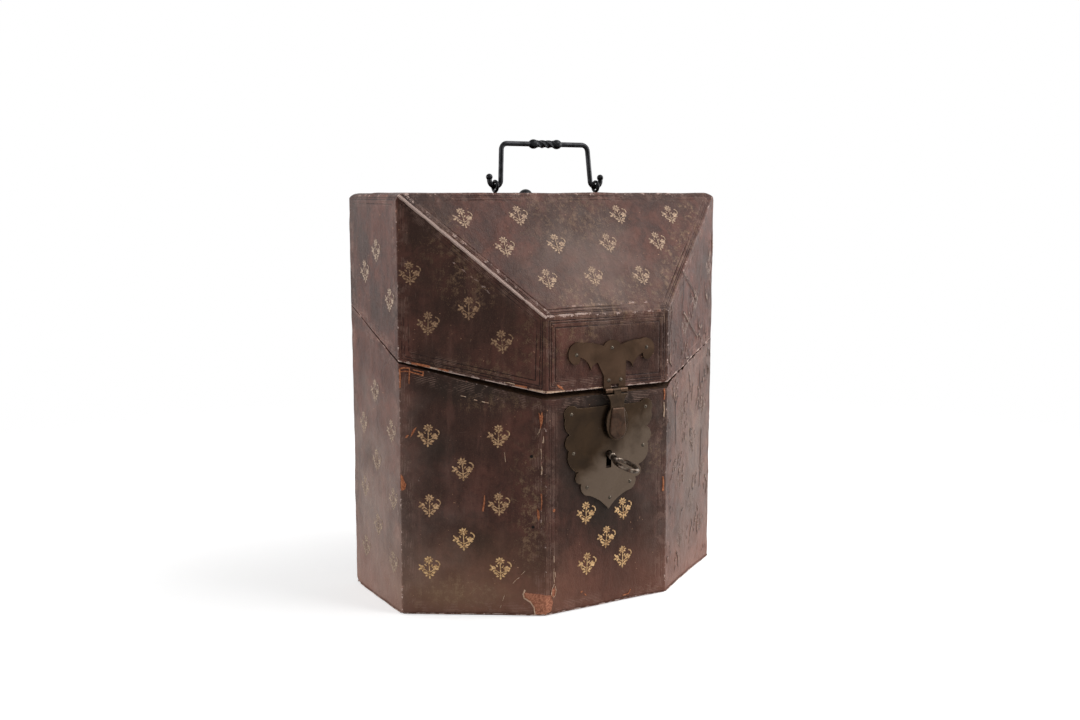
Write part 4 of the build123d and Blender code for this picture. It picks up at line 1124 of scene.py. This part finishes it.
# Plates with softened rims
def bright_rim_plate(node, finish, body):
    """Copy of a flat plate whose bevelled outer rim gets a brighter metal: a painted highlight, partly wear.
    """
    name = node + "_bright_rim"
    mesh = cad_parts[node].data.copy()
    mesh.name = name
    mesh.materials.clear()
    mesh.materials.append(finish)
    mesh.materials.append(rim_highlight_iron)
    work = bmesh.new()
    work.from_mesh(mesh)
    bmesh.ops.remove_doubles(work, verts=work.verts, dist=0.002 * MM)
    bmesh.ops.dissolve_limit(work, angle_limit=math.radians(1), verts=work.verts, edges=work.edges)
    outer = min(v.co.y for v in work.verts)
    rim = []
    for e in work.edges:
        if all(abs(v.co.y - outer) < TINY for v in e.verts) and e.calc_face_angle(0) > 0.8:
            rim.append(e)
    size = {"offset": 0.5 * MM, "segments": 2, "profile": 0.6}
    made = bmesh.ops.bevel(work, geom=rim, affect="EDGES", clamp_overlap=True, **size)
    for f in work.faces:
        f.material_index = 0
    for f in made["faces"]:
        f.material_index = 1
    work.to_mesh(mesh)
    work.free()
    item = put(name, mesh)
    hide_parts(node)
    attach(item, body)


def plate_finish(name, deep, light):
    """Brown patina, lighter grey low down and to the right: a painted reflection of the pale surroundings.
    """
    f = Finish(name, metallic=0.75, specular=0.3)
    cloud = f.noise(26, 3, 0.5, warp=0.4)
    parts = f.node("SeparateXYZ", {0: f.place}).outputs
    height = f.times(parts["X"], -0.7, parts["Z"])
    # Painted reflection of the pale surroundings: lighter grey towards the bottom and the right
    low = f.band(f.times(cloud, -60 * MM, height), 104 * MM, 76 * MM)
    fine = f.noise(1.6, 5, 0.65)
    pits = f.band(f.noise(3.4, 3, 0.6), 0.7, 0.74)
    dots = f.band(fine, 0.56, 0.74)
    layers = ((low, 1.0, (92, 78, 66)), (dots, 0.3, (40, 30, 22)), (pits, 0.6, (34, 26, 20)))
    f.set("Base Color", f.layered(f.mix(f.band(cloud, 0.35, 0.65), deep, light), *layers))
    f.set("Roughness", f.times(cloud, 0.2, 0.26))
    f.relief(cloud, 1.2)
    f.relief(fine, 0.04)
    f.relief(f.math("SUBTRACT", 1.0, pits), 0.12)
    return f.material


# Brighter metal for the plates' bevelled rims: painted highlight, partly wear
rim_highlight_iron = metal("rim_highlight_iron", (84, 66, 50), (140, 118, 96), 0.3, size=3.0)
bright_rim_plate("lock_plate", plate_finish("lock_iron", (42, 30, 19), (60, 44, 29)), "case")
bright_rim_plate("hasp_plate", plate_finish("hasp_iron", (60, 43, 30), (82, 61, 46)), "lid")

# Floor, light and camera
WHITE = (1, 1, 1, 1)
FLOOR_REACH = 1.2
FLOOR_GREY, FLOOR_GLOW = 0.7, 0.53
corners = [(x * FLOOR_REACH, y * FLOOR_REACH, 0) for x, y in ((-1, -1), (1, -1), (1, 1), (-1, 1))]
floor_mesh = bpy.data.meshes.new("floor")
floor_mesh.from_pydata(corners, [], [(0, 1, 2, 3)])
floor = put("floor", floor_mesh)
ground = Finish("pale_floor", roughness=0.8, specular=0.1)
ground.set("Base Color", (FLOOR_GREY, FLOOR_GREY, FLOOR_GREY, 1))
rays = ground.node("LightPath", {}).outputs
shown = ground.math("MAXIMUM", rays["Is Camera Ray"], rays["Is Glossy Ray"])
ground.set("Emission Color", WHITE)
ground.set("Emission Strength", ground.times(shown, FLOOR_GLOW))
from_middle = ground.node("VectorMath", {0: ground.place}, operation="LENGTH")
ground.set("Alpha", ground.band(from_middle.outputs["Value"], 1.0, 0.45))
floor_mesh.materials.append(ground.material)


def soft_box(name, place, aim, width, height, watts):
    """A rectangular area lamp at a place, turned towards an aim."""
    lamp = bpy.data.lights.new(name, "AREA")
    lamp.shape = "RECTANGLE"
    lamp.size, lamp.size_y = width, height
    lamp.energy = watts
    item = put(name, lamp)
    item.location = place
    item.rotation_euler = (Vector(aim) - Vector(place)).to_track_quat("-Z", "Y").to_euler()


MIDDLE = (0, 0, top / 2)
soft_box("left_light", (-1.3, 0.85, 0.5), MIDDLE, 1.2, 0.9, 17.0)
soft_box("right_light", (1.35, -0.3, 0.5), MIDDLE, 1.0, 0.8, 11.0)
soft_box("top_light", (0.75, -0.66, 1.4), MIDDLE, 1.0, 1.0, 19.0)

world = bpy.data.worlds.new("studio")
bpy.context.scene.world = world
world.use_nodes = True
sky_tree = world.node_tree
sky_tree.nodes.clear()
SKY_LIGHT = 0.22
rays = add_node(sky_tree, "LightPath", {}).outputs
seen = rays["Is Camera Ray"]
for kind in ("Is Glossy Ray", "Is Transmission Ray"):
    seen = add_node(sky_tree, "Math", {0: seen, 1: rays[kind]}, operation="MAXIMUM").outputs[0]
lit = add_node(sky_tree, "MapRange", {"Value": seen, "To Min": SKY_LIGHT, "To Max": 1.0})
sky = add_node(sky_tree, "Background", {"Color": WHITE, "Strength": lit.outputs["Result"]})
add_node(sky_tree, "OutputWorld", {0: sky.outputs[0]})

CAMERA_AT = (-0.5196, -0.8437, 0.3244)
CAMERA_WAY = (0.50777, 0.85048, -0.1377)
lens = bpy.data.cameras.new("camera")
lens.sensor_width = 36.0
lens.lens = 40.18
camera = put("camera", lens)
camera.location = CAMERA_AT
camera.rotation_euler = Vector(CAMERA_WAY).to_track_quat("-Z", "Y").to_euler()
bpy.context.scene.camera = camera
bpy.context.scene.view_settings.view_transform = "Standard"
